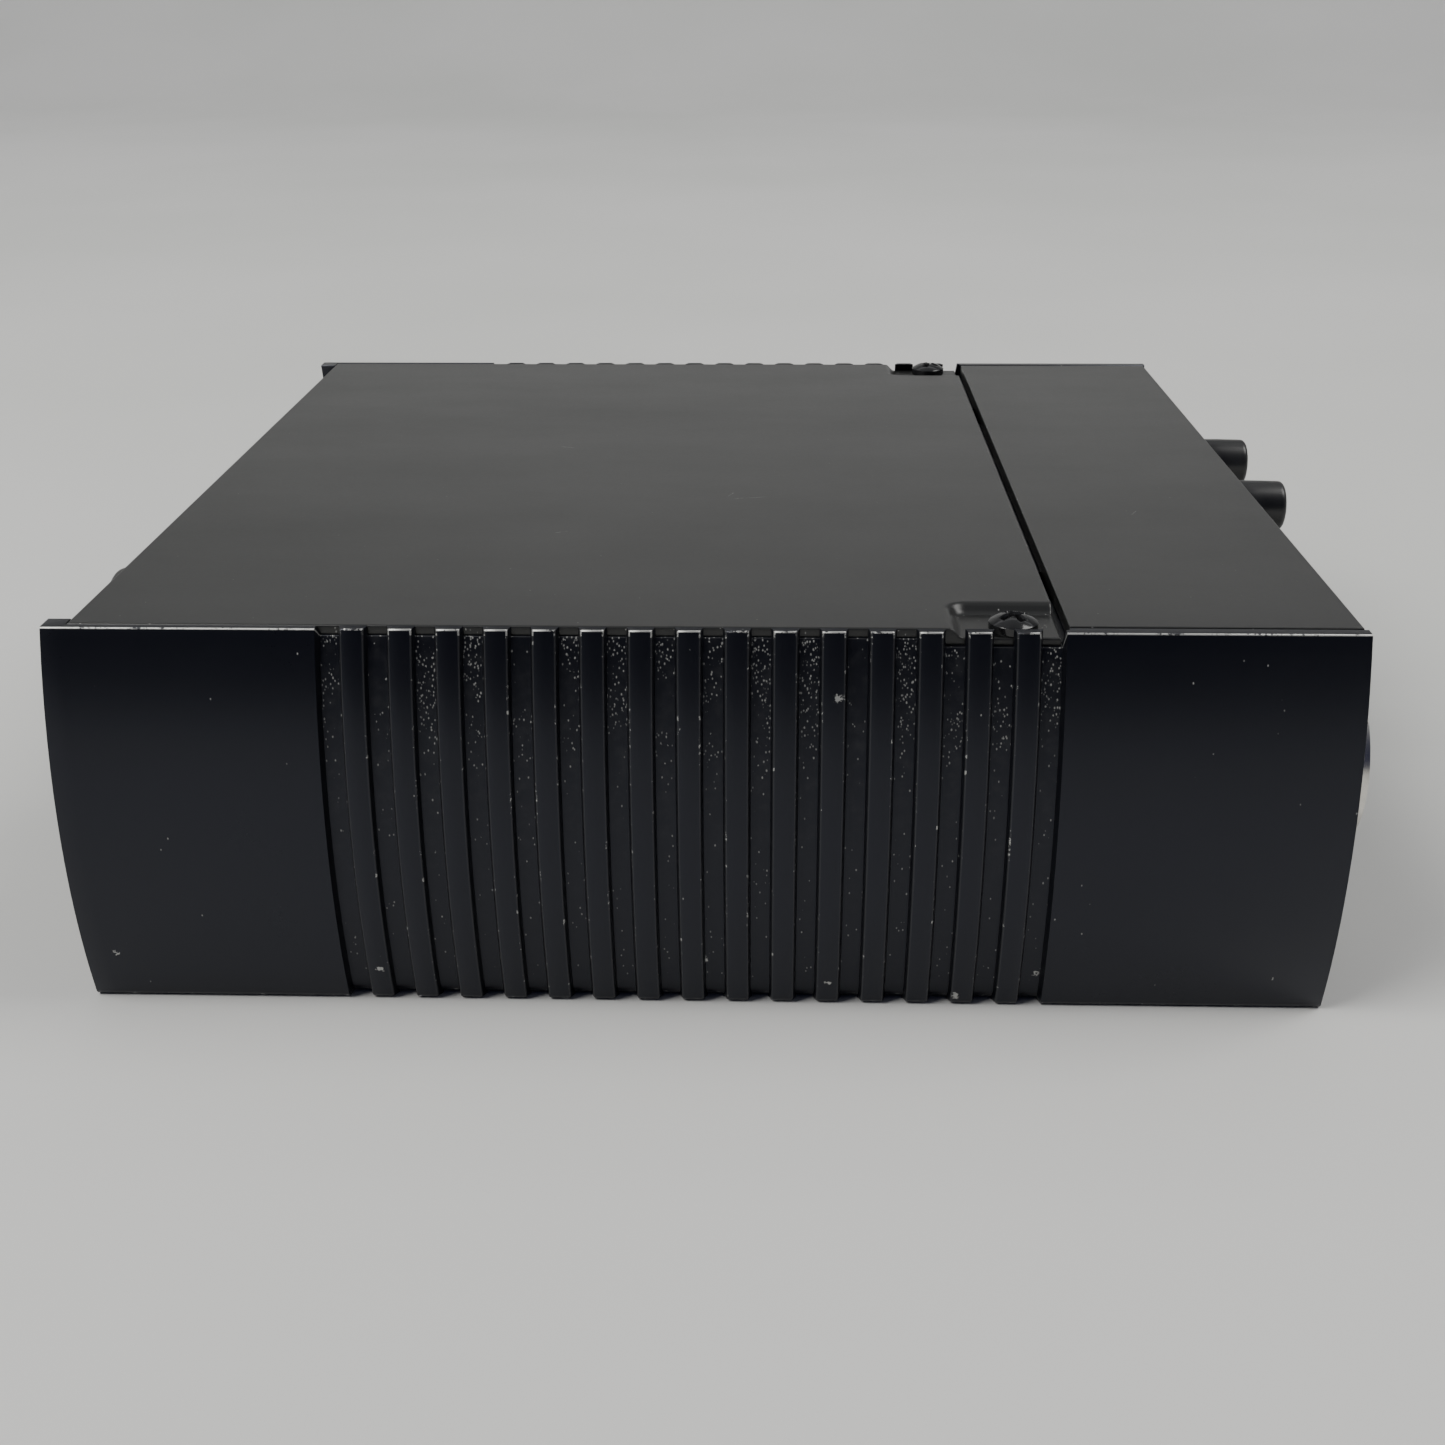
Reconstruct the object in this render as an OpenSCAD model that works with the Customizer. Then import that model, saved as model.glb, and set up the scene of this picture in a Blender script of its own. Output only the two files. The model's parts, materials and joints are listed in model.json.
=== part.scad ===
// Direct injection box: a die-cast tub with ribbed, bulging cheeks, a screwed cover,
// a sliding battery lid, an input end (-X) and an output end (+X).
// Origin: centre of the underside. X runs from the input end to the output end, Z is up.

/* [Case] */
// Length from the input end to the output end
case_len = 137.5; // [130:0.5:170]
// Depth across the top edges of the two cheeks
case_dep = 130; // [124:1:160]
// Height from the underside to the top plane
case_h = 44.4; // [43:0.2:56]
// How far each cheek bulges at mid height
cheek_bulge = 3.3; // [1.5:0.1:5]
// Wall behind the grooves
wall = 1.6; // [1.2:0.1:2.2]
// Thickness of the case floor
floor_t = 2.4; // [1.8:0.1:3]
// Rounding of the lower edges
corner_r = 1.0; // [0.5:0.1:1.5]

/* [Grip ribs] */
// Number of ribs on each cheek
rib_count = 15; // [8:1:15]
// Distance from one rib to the next
rib_pitch = 5.0; // [4.5:0.1:5.2]
// Width of one rib
rib_w = 2.5; // [1.5:0.1:3]
// Depth of the grooves between the ribs
rib_depth = 0.95; // [0.5:0.05:1.2]

/* [Cover and lid] */
// Cheeks stand this far past the cover and the input panel
input_recess = 2.4; // [1:0.1:4]
// Output panel sits this far inside the cheek ends
output_recess = 0.4; // [0.2:0.1:2]
// Length of the battery bay's lid
lid_len = 30.2; // [30:0.1:33]
// Open seam between cover and lid
seam_w = 0.9; // [0.5:0.1:1.5]
// Thickness of the cover
cover_t = 1.8; // [1.6:0.1:2.4]
// Thickness of the cover where it lies on the cheeks
rim_t = 1.0; // [0.8:0.1:1.2]
// Thickness of the battery lid
lid_t = 1.6; // [1.4:0.1:2.2]
// Length of each screw pocket
pocket_len = 10.8; // [10:0.1:14]
// Width of each screw pocket, from the cheek's face inward
pocket_w = 8.8; // [7:0.1:12]
// Depth of each screw pocket
pocket_d = 1.0; // [0.6:0.1:1.2]
// Cover screw axis, in from the cheek's face
screw_in = 3.6; // [3.5:0.1:5]
// Radius of the cover screws' heads
head_r = 2.6; // [2.2:0.1:2.8]

/* [Panels and sockets] */
// Thickness of both end panels
panel_t = 1.8; // [1.2:0.1:2.4]
// Radius of a jack socket's hole, for a 6.35 mm plug
jack_r = 3.25; // [3.2:0.01:3.3]
// Distance between the two jack sockets
jack_gap = 30; // [22:1:34]
// Inner radius of the three-pin output connector
xlr_r = 8.1; // [7.9:0.1:8.4]
// Depth of the output connector's cup
xlr_depth = 15; // [13:0.5:16]
// How far the output connector stands out of its panel
xlr_out = 4.9; // [2:0.1:8]

/* [Controls] */
// Radius of the level knob
knob_r = 6.0; // [5.6:0.1:7]
// Length of the level knob
knob_len = 8.9; // [8:0.1:12]
// Radius of the two push buttons
button_r = 3.5; // [2.8:0.1:4]
// How far a button stands out of its panel when released
button_out = 9.4; // [6:0.1:12]
// Travel of a push button
button_travel = 3.0; // [1:0.1:3]
// Distance between the two buttons
button_gap = 22.8; // [16:0.1:26]

/* [Board] */
// Height of the board's supports above the case floor
standoff_h = 8; // [6:0.5:9]
// Thickness of the circuit board
board_t = 1.6; // [1.2:0.1:2]

/* [Hidden] */
$fn = 64;
eps = 0.01;
big = 400;

// fits
edge_gap = 0.1;
slide_gap = 0.15;
running = 0.05;
hole_gap = 0.3;

// case
x0 = -case_len/2;
x1 = case_len/2;
half_dep = case_dep/2;
side_r = (pow(case_h/2, 2) + pow(cheek_bulge, 2))/(2*cheek_bulge);
side_c = half_dep + cheek_bulge - side_r;
groove_w = rib_pitch - rib_w;
bay_wall = 3.4;
partition_t = 2.8;
lip_y = half_dep - rib_depth;

// cover and lid
cover_x0 = x0 + input_recess;
lid_x1 = x1 - output_recess + 0.1;
lid_x0 = lid_x1 - lid_len;
cover_x1 = lid_x0 - seam_w;
cover_y = lip_y - edge_gap;
lid_y = half_dep - 2.0 - edge_gap;
tongue_y = lid_y + 0.7;
tongue_t = 0.7;
partition_x1 = lid_x0 + 0.7;
partition_x0 = partition_x1 - partition_t;
ribs_end = lid_x0 - 0.6;
ribs_start = ribs_end - rib_count*rib_pitch - groove_w;
pocket_x0 = cover_x1 - pocket_len;
pocket_rim = 1.2;
screw_x = cover_x1 - 4.7;
screw_y = half_dep - screw_in;
screw_r = 1.5;
boss_h = 9;
shank_len = 7;

// end panels
input_face = x0 + input_recess;
input_back = input_face + panel_t;
output_face = x1 - output_recess;
output_back = output_face - panel_t;
panel_top = case_h - cover_t;
output_top = case_h - lid_t - 0.2;

// input end
jack_z = 22.2;
jack_y = [5, 5 + jack_gap];
jack_body = [26, 16];
chamber_r = 5.2;
bush_r = 4.8;
bush_out = 4.4;
washer_t = 0.6;
nut_t = 2.4;
pot_y = -24;
pot_z = case_h - 13.4;
shaft_r = 3.0;
pot_r = 8;
pot_len = 9;
pot_bush_r = 3.9;
pot_nut_t = 1.6;
pot_nut_af = 8.4;
flute_r = 0.5;
knob_x = input_face - 0.5;
led_y = -46;
led_z = 22.2;
led_r = 2.5;

// output end
xlr_y = -47.2;
xlr_z = 23.4;
xlr_wall = 1.9;
xlr_x1 = output_face + xlr_out;
xlr_floor = xlr_x1 - xlr_depth;
insert_t = 5;
pin_len = 12;
pin_r = 1.2;
flange = [1.5, 24, 28];
fix_y = 9.5;
fix_z = 11.2;
button_z = case_h - 7;
button_y = [5.3, 5.3 + button_gap];
stem = 3;
switch_len = 5.2;
switch_x0 = output_back - switch_len - 0.2 - button_travel;
switch_w = 10;
collar_r = 4.8;

// board
board_z = floor_t + standoff_h;
board_top = board_z + board_t;
board_x0 = input_back + 1.2;
board_x1 = partition_x0 - 1.5;
board_y = half_dep - 7;
fix_in = 6;
board_fix = [for (x = [board_x0 + fix_in + 24, board_x1 - fix_in]) for (y = [-1, 1]) [x, y*(board_y - fix_in)]];
header_x = board_x1 - 8;
header_y = [-40, 34];
core_x = board_x1 - 42;
core_y = -22;
core = [22, 26, 20];
window = 6;
chip_at = [[-44, -40], [-20, -40], [-20, 12], [header_x - 24.65, 34]];
cap_x = header_x - 9.65;
cap_at = [[-34, -18, 4, 11], [-23, -18, 4, 11], [-20, 40, 3.2, 8], [-30, 40, 3.2, 8], [cap_x, 22, 5, 12], [cap_x, 38, 5, 12]];
row_count = 10;
row_x0 = board_fix[0][0] + 9.35;
row_step = (board_fix[2][0] - 7.65 - row_x0)/(row_count - 1);

// battery
cell = [17.5, 48.5, 26.5];
cell_x = partition_x1 + 0.5;
cell_y = -32;
pad_t = 2;
cell_z = floor_t + pad_t;
stud_h = 2.6;
snap_t = 3.4;
notch_y = [-50, 30];
notch_w = 10;
notch_z = 30;

// runs a section drawn in Y and Z along X
module along_x(x, len) {
    translate([x, 0, 0]) rotate([90, 0, 90]) linear_extrude(height = len) children();
}

// cylinder along X between two stations
module rod_x(x, len, r, y, z) {
    translate([x, y, z]) rotate([0, 90, 0]) cylinder(h = len, r = r);
}

// hexagon along X, af across its flats
module hex_x(x, len, af, y, z) {
    translate([x, y, z]) rotate([0, 90, 0]) cylinder(h = len, r = af/sqrt(3), $fn = 6);
}

// block from one corner
module block(x, y, z, dx, dy, dz) {
    translate([x, y, z]) cube([dx, dy, dz]);
}

// section between the two bulging sides
module barrel(inset, z0, z1) {
    intersection() {
        translate([side_c, case_h/2]) circle(r = side_r - inset, $fn = 360);
        translate([-side_c, case_h/2]) circle(r = side_r - inset, $fn = 360);
        translate([-big/2, z0]) square([big, z1 - z0]);
    }
}

// what the rounding takes off the lower edge at +Y
module lower_corner() {
    yc = side_c + sqrt(pow(side_r - corner_r, 2) - pow(case_h/2 - corner_r, 2));
    uy = (yc - side_c)/(side_r - corner_r);
    uz = (corner_r - case_h/2)/(side_r - corner_r);
    touch = [side_c + uy*side_r, case_h/2 + uz*side_r];
    difference() {
        polygon([[yc, corner_r], touch, touch + [2*uy, 2*uz], [yc + 4, -1], [yc, -1]]);
        translate([yc, corner_r]) circle(r = corner_r);
    }
}

// threaded pan-head screw pointing down, its head resting at z
module pan_screw(x, y, z, r, head, len) {
    translate([x, y, z]) difference() {
        union() {
            translate([0, 0, -len]) cylinder(h = len, r = r);
            intersection() {
                cylinder(h = 0.85*head, r = head);
                translate([0, 0, -0.72*head]) sphere(r = 1.45*head);
            }
        }
        for (a = [0, 90]) rotate([0, 0, a]) {
            translate([-0.55*head, -0.14*head, 0.25*head]) cube([1.1*head, 0.28*head, head]);
        }
    }
}

// points on a smooth curve through a list of points
function bend(p, t) = 0.5*(2*p[1] + (p[2] - p[0])*t + (2*p[0] - 5*p[1] + 4*p[2] - p[3])*t*t
    + (3*p[1] - p[0] - 3*p[2] + p[3])*t*t*t);
function smooth(route, steps) = [
    for (i = [0:len(route) - 2]) let (q = [route[max(i - 1, 0)], route[i], route[i + 1], route[min(i + 2, len(route) - 1)]])
        for (k = [0:steps - 1]) bend(q, k/steps),
    route[len(route) - 1]];
function unit(v) = v/norm(v);

// thin wire swept along a route; side is a direction that the wire never takes
module wire(route, r, side) {
    path = smooth(route, 3);
    last = len(path) - 1;
    sides = 8;
    rings = [for (i = [0:last]) let (
            along = unit(path[min(i + 1, last)] - path[max(i - 1, 0)]),
            across = unit(cross(along, side)),
            up = cross(along, across))
        for (k = [0:sides - 1]) path[i] + r*(cos(360*k/sides)*across + sin(360*k/sides)*up)];
    walls = [for (i = [0:last - 1]) for (k = [0:sides - 1]) for (half = [0, 1])
        half == 0 ? [i*sides + k, i*sides + (k + 1)%sides, (i + 1)*sides + k]
            : [i*sides + (k + 1)%sides, (i + 1)*sides + (k + 1)%sides, (i + 1)*sides + k]];
    polyhedron(rings, concat(walls, [[for (k = [sides - 1:-1:0]) k]], [[for (k = [0:sides - 1]) last*sides + k]]));
}

module case_body() {
    color("#17181a") difference() {
        union() {
            difference() {
                along_x(x0, case_len) barrel(0, 0, case_h);
                along_x(x0 - 1, partition_x0 - x0 + 1) barrel(rib_depth + wall, floor_t, case_h + 1);
                along_x(partition_x1, x1 - partition_x1 + 1) barrel(bay_wall, floor_t, case_h + 1);
            }
            for (f = board_fix) translate([f[0], f[1], floor_t - eps]) cylinder(h = standoff_h + eps, r = 3.2);
            intersection() {
                along_x(x0, case_len) barrel(rib_depth, 0, case_h);
                for (s = [-1, 1]) translate([screw_x, s*screw_y, case_h - cover_t - boss_h]) {
                    cylinder(h = boss_h, r = 3.4);
                }
            }
        }
        for (i = [0:rib_count]) along_x(ribs_start + i*rib_pitch, groove_w) {
            difference() {
                translate([-big/2, -1]) square([big, case_h + 2]);
                barrel(rib_depth, -1, case_h + 1);
            }
        }
        for (s = [0, 1]) mirror([0, s, 0]) along_x(x0 - 1, case_len + 2) lower_corner();
        block(cover_x0, -lip_y, case_h - rim_t, lid_x0 - cover_x0, 2*lip_y, 5);
        block(pocket_x0 - pocket_rim - edge_gap, -lip_y, case_h - cover_t, lid_x0 - pocket_x0 + pocket_rim, 2*lip_y, 5);
        block(partition_x0 - 1, -lip_y + wall, case_h - cover_t, partition_t + 2, 2*(lip_y - wall), 5);
        block(lid_x0 - edge_gap, -lid_y - edge_gap, case_h - lid_t - slide_gap, case_len, 2*(lid_y + edge_gap), 5);
        block(lid_x0 - edge_gap, -tongue_y - slide_gap, case_h - lid_t - slide_gap,
              case_len, 2*(tongue_y + slide_gap), tongue_t + 2*slide_gap);
        for (s = [-1, 1]) translate([screw_x, s*screw_y, case_h - cover_t - shank_len - 1]) {
            cylinder(h = 20, r = screw_r);
        }
        for (f = board_fix) translate([f[0], f[1], floor_t + 1]) cylinder(h = 20, r = 1.3);
        for (y = notch_y) block(partition_x0 - 1, y, notch_z, partition_t + 2, notch_w, case_h);
    }
}

module top_cover() {
    color("#4b4c4e") difference() {
        union() {
            block(cover_x0, -cover_y, case_h - rim_t, cover_x1 - cover_x0, 2*cover_y, rim_t);
            block(cover_x0, -lip_y + wall + edge_gap, case_h - cover_t,
                  cover_x1 - cover_x0, 2*(lip_y - wall - edge_gap), cover_t);
            block(pocket_x0 - pocket_rim, -cover_y, case_h - cover_t, pocket_len + pocket_rim, 2*cover_y, cover_t);
            for (s = [-1, 1]) block(input_back + edge_gap, s*45 - 8, case_h - cover_t - 3.2, 1.6, 16, 3.2 + eps);
        }
        for (s = [-1, 1]) {
            block(pocket_x0, s*half_dep - pocket_w, case_h - pocket_d, pocket_len + 1, 2*pocket_w, 5);
            translate([screw_x, s*screw_y, case_h - 5]) cylinder(h = 10, r = screw_r + edge_gap);
        }
    }
}

module cover_screws() {
    color("#0c0c0d") for (s = [-1, 1]) {
        pan_screw(screw_x, s*screw_y, case_h - pocket_d, screw_r, head_r, shank_len + cover_t - pocket_d);
    }
}

module battery_lid() {
    color("#525355") {
        block(lid_x0, -lid_y, case_h - lid_t, lid_len, 2*lid_y, lid_t);
        for (s = [0, 1]) mirror([0, s, 0]) {
            block(lid_x0, lid_y - eps, case_h - lid_t, lid_len, tongue_y - lid_y + eps, tongue_t);
        }
    }
}

module input_panel() {
    z1 = panel_top - edge_gap;
    color("#1b1c1e") difference() {
        along_x(input_face, panel_t) barrel(rib_depth + wall + edge_gap, floor_t + edge_gap, z1);
        for (y = jack_y) rod_x(input_face - 1, panel_t + 2, bush_r + hole_gap/2, y, jack_z);
        rod_x(input_face - 1, panel_t + 2, pot_bush_r + hole_gap/2, pot_y, pot_z);
        rod_x(input_face - 1, panel_t + 2, led_r + edge_gap, led_y, led_z);
    }
}

module output_panel() {
    color("#1b1c1e") difference() {
        along_x(output_back, panel_t) barrel(bay_wall + edge_gap, floor_t + edge_gap, output_top);
        rod_x(output_back - 1, panel_t + 2, xlr_r + xlr_wall + hole_gap/2, xlr_y, xlr_z);
        for (y = button_y) rod_x(output_back - 1, panel_t + 2, button_r + hole_gap, y, button_z);
        for (s = [-1, 1]) rod_x(output_back - 1, panel_t + 2, screw_r + edge_gap, xlr_y - s*fix_y, xlr_z + s*fix_z);
    }
}

module jack_bodies() {
    h = jack_z - board_top;
    color("#202124") for (y = jack_y) difference() {
        block(input_back, y - jack_body[1]/2, board_top, jack_body[0], jack_body[1], 2*h);
        rod_x(input_back - 1, jack_body[0] - 1, chamber_r, y, jack_z);
        rod_x(input_back - 1, jack_body[0] + 5, 2, y, jack_z);
    }
}

module jack_bushes() {
    color("#c9cacc") for (y = jack_y) difference() {
        union() {
            rod_x(input_face - bush_out, bush_out + panel_t, bush_r, y, jack_z);
            rod_x(input_back, 3, chamber_r, y, jack_z);
        }
        rod_x(input_face - bush_out - 1, bush_out + panel_t + 6, jack_r, y, jack_z);
    }
}

module jack_washers() {
    color("#d0d1d3") for (y = jack_y) difference() {
        rod_x(input_face - washer_t, washer_t, 7.2, y, jack_z);
        rod_x(input_face - washer_t - 1, washer_t + 2, bush_r + hole_gap/2, y, jack_z);
    }
}

module jack_nuts() {
    color("#c4c5c8") for (y = jack_y) difference() {
        hex_x(input_face - washer_t - nut_t, nut_t, 12.7, y, jack_z);
        rod_x(input_face - washer_t - nut_t - 1, nut_t + 2, bush_r, y, jack_z);
    }
}

module jack_contacts() {
    color("#d8c48a") for (y = jack_y) {
        for (s = [-1, 1]) block(input_back + 9, y - 1.5, jack_z + s*4.2 - 0.25, jack_body[0] - 11, 3, 0.5);
    }
}

module pot_body() {
    color("#9a9ca0") {
        rod_x(input_back, pot_len, pot_r, pot_y, pot_z);
        block(input_back + 2, pot_y - 6, board_top, 4, 12, pot_z - board_top);
    }
}

module pot_bush() {
    color("#b9bbbe") difference() {
        rod_x(input_face - 2.4, 2.4 + panel_t, pot_bush_r, pot_y, pot_z);
        rod_x(input_face - 4, panel_t + 6, shaft_r + running, pot_y, pot_z);
    }
}

module pot_nut() {
    color("#c4c5c8") difference() {
        hex_x(input_face - pot_nut_t, pot_nut_t, pot_nut_af, pot_y, pot_z);
        rod_x(input_face - pot_nut_t - 1, pot_nut_t + 2, pot_bush_r, pot_y, pot_z);
    }
}

module pot_shaft() {
    color("#cfd0d2") rod_x(knob_x - knob_len + 2, knob_len - 2 + (input_back - knob_x) - edge_gap, shaft_r, pot_y, pot_z);
}

module level_knob() {
    color("#3a3a3c") difference() {
        rod_x(knob_x - knob_len, knob_len, knob_r, pot_y, pot_z);
        for (a = [10:20:350]) rod_x(knob_x - knob_len - 1, knob_len - 1, flute_r,
                                    pot_y + knob_r*cos(a), pot_z + knob_r*sin(a));
        rod_x(knob_x - knob_len + 2, knob_len, shaft_r, pot_y, pot_z);
        rod_x(knob_x - 2.2, 4, pot_nut_af/sqrt(3) + hole_gap, pot_y, pot_z);
        block(knob_x - knob_len - 1, pot_y - 0.4, pot_z + 1, 1.4, 0.8, knob_r);
    }
}

module status_led() {
    color("#8c1a16") {
        rod_x(input_face - 1, panel_t + 3.5, led_r, led_y, led_z);
        translate([input_face - 1, led_y, led_z]) sphere(r = led_r);
        for (s = [-1, 1]) block(input_back + 1.5, led_y + 1.3*s - 0.25, board_top, 0.5, 0.5, led_z - board_top);
    }
}

module xlr_shell() {
    r_out = xlr_r + xlr_wall;
    color("#b4b6b9") difference() {
        union() {
            rod_x(xlr_floor - insert_t, xlr_x1 - xlr_floor + insert_t, r_out, xlr_y, xlr_z);
            block(output_back - flange[0], xlr_y - flange[1]/2, xlr_z - flange[2]/2, flange[0], flange[1], flange[2]);
        }
        rod_x(xlr_floor - insert_t - 1, xlr_depth + insert_t + 2, xlr_r, xlr_y, xlr_z);
        for (s = [-1, 1]) rod_x(output_back - 5, 10, screw_r, xlr_y - s*fix_y, xlr_z + s*fix_z);
    }
}

// pin places about the connector's axis
function pin_at(i) = i == 2 ? [xlr_y, xlr_z - 3.4] : [xlr_y + (i == 0 ? -3.4 : 3.4), xlr_z + 1];

module xlr_insert() {
    color("#101113") difference() {
        rod_x(xlr_floor - insert_t, insert_t, xlr_r, xlr_y, xlr_z);
        for (i = [0:2]) rod_x(xlr_floor - insert_t - 1, insert_t + 2, pin_r, pin_at(i)[0], pin_at(i)[1]);
    }
}

module xlr_pins() {
    color("#d3d4d2") for (i = [0:2]) {
        rod_x(xlr_floor - insert_t - 3, insert_t + 3 + pin_len - pin_r, pin_r, pin_at(i)[0], pin_at(i)[1]);
        translate([xlr_floor + pin_len - pin_r, pin_at(i)[0], pin_at(i)[1]]) sphere(r = pin_r);
    }
}

module xlr_screws() {
    color("#17181a") for (s = [-1, 1]) {
        translate([output_face, xlr_y - s*fix_y, xlr_z + s*fix_z]) rotate([0, 90, 0]) {
            pan_screw(0, 0, 0, screw_r, head_r, panel_t + flange[0] + 1);
        }
    }
}

module push_button(y) {
    rod_x(output_back + 0.2, button_out + panel_t - 0.8, button_r, y, button_z);
    rod_x(output_face + button_out - 0.6 - eps, 0.6, button_r - 0.35, y, button_z);
    block(switch_x0 + 2, y - stem/2, button_z - stem/2, output_back + 0.2 - switch_x0 - 2 + eps, stem, stem);
}

module lift_button() {
    color("#0f1011") push_button(button_y[0]);
}

module pad_button() {
    color("#0f1011") push_button(button_y[1]);
}

module switch_bodies() {
    h = stem + 2*slide_gap;
    color("#26272a") for (y = button_y) difference() {
        union() {
            block(switch_x0, y - switch_w/2, button_z - switch_w/2, switch_len, switch_w, switch_w);
            rod_x(switch_x0 + switch_len - eps, output_back - switch_x0 - switch_len + eps, collar_r, y, button_z);
        }
        rod_x(switch_x0 + switch_len - 0.2, 10, button_r + slide_gap, y, button_z);
        block(switch_x0 - 1, y - h/2, button_z - h/2, switch_len + 4, h, h);
    }
}

module main_board() {
    color("#1f5a3a") difference() {
        block(board_x0, -board_y, board_z, board_x1 - board_x0, 2*board_y, board_t);
        for (f = board_fix) translate([f[0], f[1], board_z - 1]) cylinder(h = board_t + 2, r = 1.6);
    }
}

module board_screws() {
    color("#b9bbbe") for (f = board_fix) pan_screw(f[0], f[1], board_top, 1.3, head_r, 6);
}

module board_headers() {
    color("#e6e1d0") for (y = header_y) block(header_x, y - 5, board_top, 5, 10, 6);
}

module transformer_core() {
    color("#6b6d70") difference() {
        block(core_x, core_y, board_top, core[0], core[1], core[2]);
        for (s = [0, 1]) block(core_x - 1, core_y + 3 + s*(core[1] - 6 - window), board_top + 4, core[0] + 2, window, core[2] - 8);
    }
}

module transformer_coil() {
    limb_y = core_y + 3 + window;
    limb_w = core[1] - 6 - 2*window;
    color("#b0713a") difference() {
        block(core_x - 4, core_y + 3.2, board_top + 4.2, core[0] + 8, core[1] - 6.4, core[2] - 8.4);
        block(core_x - 0.1, limb_y - 0.1, board_top + 3, core[0] + 0.2, limb_w + 0.2, core[2] - 6);
    }
}

module signal_chips() {
    color("#18191b") for (c = chip_at) translate([c[0], c[1], board_top]) {
        translate([0, 0, 0.6]) cube([9.6, 6.4, 3.4]);
        for (i = [0:3]) for (s = [0, 1]) translate([0.9 + 2.4*i, s*7.1 - 0.6, 0]) cube([0.5, 0.5, 2.2]);
        for (i = [0:3]) for (s = [0, 1]) translate([0.9 + 2.4*i, s*5.9 - 0.3, 1.8]) cube([0.5, 1.1, 0.4]);
    }
}

module filter_capacitors() {
    color("#23304f") for (c = cap_at) translate([c[0], c[1], board_top]) cylinder(h = c[3], r = c[2]);
}

module resistors() {
    color("#c8a878") for (i = [0:row_count - 1]) translate([row_x0 + row_step*i, 4 - board_y, board_top + 1.2]) {
        rotate([-90, 0, 0]) cylinder(h = 6, r = 1.1, $fn = 32);
        for (s = [0, 1]) translate([0, -1.5 + 9*s, 0]) rotate([90*(s*2 - 1), 0, 0]) cylinder(h = 1.5, r = 0.3, $fn = 24);
        for (s = [0, 1]) translate([0, -1.5 + 9*s, -1.2]) cylinder(h = 1.2, r = 0.3, $fn = 24);
    }
}

module battery() {
    color("#33363b") block(cell_x, cell_y, cell_z, cell[0], cell[1], cell[2]);
}

module battery_terminals() {
    color("#c9cacc") for (s = [-1, 1]) translate([cell_x + cell[0]/2, cell_y + cell[1], cell_z + cell[2]/2 + s*6.3]) {
        rotate([-90, 0, 0]) cylinder(h = stud_h, r = s < 0 ? 2.9 : 3.6);
    }
}

module battery_snap() {
    y = cell_y + cell[1];
    color("#141416") difference() {
        block(cell_x + 1.5, y + 0.6, cell_z + 1, cell[0] - 3, snap_t, cell[2] - 2);
        for (s = [-1, 1]) translate([cell_x + cell[0]/2, y, cell_z + cell[2]/2 + s*6.3]) {
            rotate([-90, 0, 0]) cylinder(h = stud_h, r = s < 0 ? 2.9 : 3.6);
        }
    }
}

lead_r = 0.6;
snap_back = cell_y + cell[1] + 0.6 + snap_t;

module battery_leads() {
    lead_z = cell_z + cell[2] - 3;
    color("#a01d1d") for (i = [0, 1]) wire([
        [cell_x + 6 + 3*i, snap_back, lead_z],
        [cell_x + 6 + 3*i, snap_back + 3, lead_z + 1],
        [cell_x + 2 + 2*i, notch_y[1] + 1 + 3*i, notch_z + 3],
        [partition_x0 - 2, notch_y[1] + 3 + 3*i, notch_z + 3],
        [header_x + 2.5, header_y[1] - 2 + 3*i, board_top + 12],
        [header_x + 2.5, header_y[1] - 2 + 3*i, board_top + 6]], lead_r, [0.5, -0.7, 0.5]);
}

// the middle pin's wire runs between the other two
lead_slot = [0, 2, 1];

module output_leads() {
    end_x = xlr_floor - insert_t - 3;
    color("#d8d8d4") for (i = [0:2]) let (dy = 2.5*lead_slot[i]) wire([
        [end_x, pin_at(i)[0], pin_at(i)[1]],
        [end_x - 3, pin_at(i)[0], pin_at(i)[1] + 2],
        [end_x - 6, notch_y[0] + 2.5 + dy, notch_z + 2],
        [partition_x1, notch_y[0] + 2.5 + dy, notch_z + 4],
        [partition_x0 - 2, notch_y[0] + 3.5 + dy, notch_z + 2],
        [header_x + 2.5, header_y[0] - 3 + dy, board_top + 13],
        [header_x + 2.5, header_y[0] - 3 + dy, board_top + 6]], lead_r, [0.1, 0.98, 0.1]);
}

module foam_pad() {
    color("#2c2c2e") block(cell_x, cell_y + 1, floor_t, cell[0], cell[1] - 2, pad_t);
}

case_body();
top_cover();
cover_screws();
battery_lid();
input_panel();
output_panel();
jack_bodies();
jack_bushes();
jack_washers();
jack_nuts();
jack_contacts();
pot_body();
pot_bush();
pot_nut();
pot_shaft();
level_knob();
status_led();
xlr_shell();
xlr_insert();
xlr_pins();
xlr_screws();
lift_button();
pad_button();
switch_bodies();
main_board();
board_screws();
board_headers();
transformer_core();
transformer_coil();
signal_chips();
filter_capacitors();
resistors();
battery();
battery_terminals();
battery_snap();
battery_leads();
output_leads();
foam_pad();
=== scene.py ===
import json
import math

import bmesh
import bpy
from mathutils import Matrix, Vector


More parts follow.
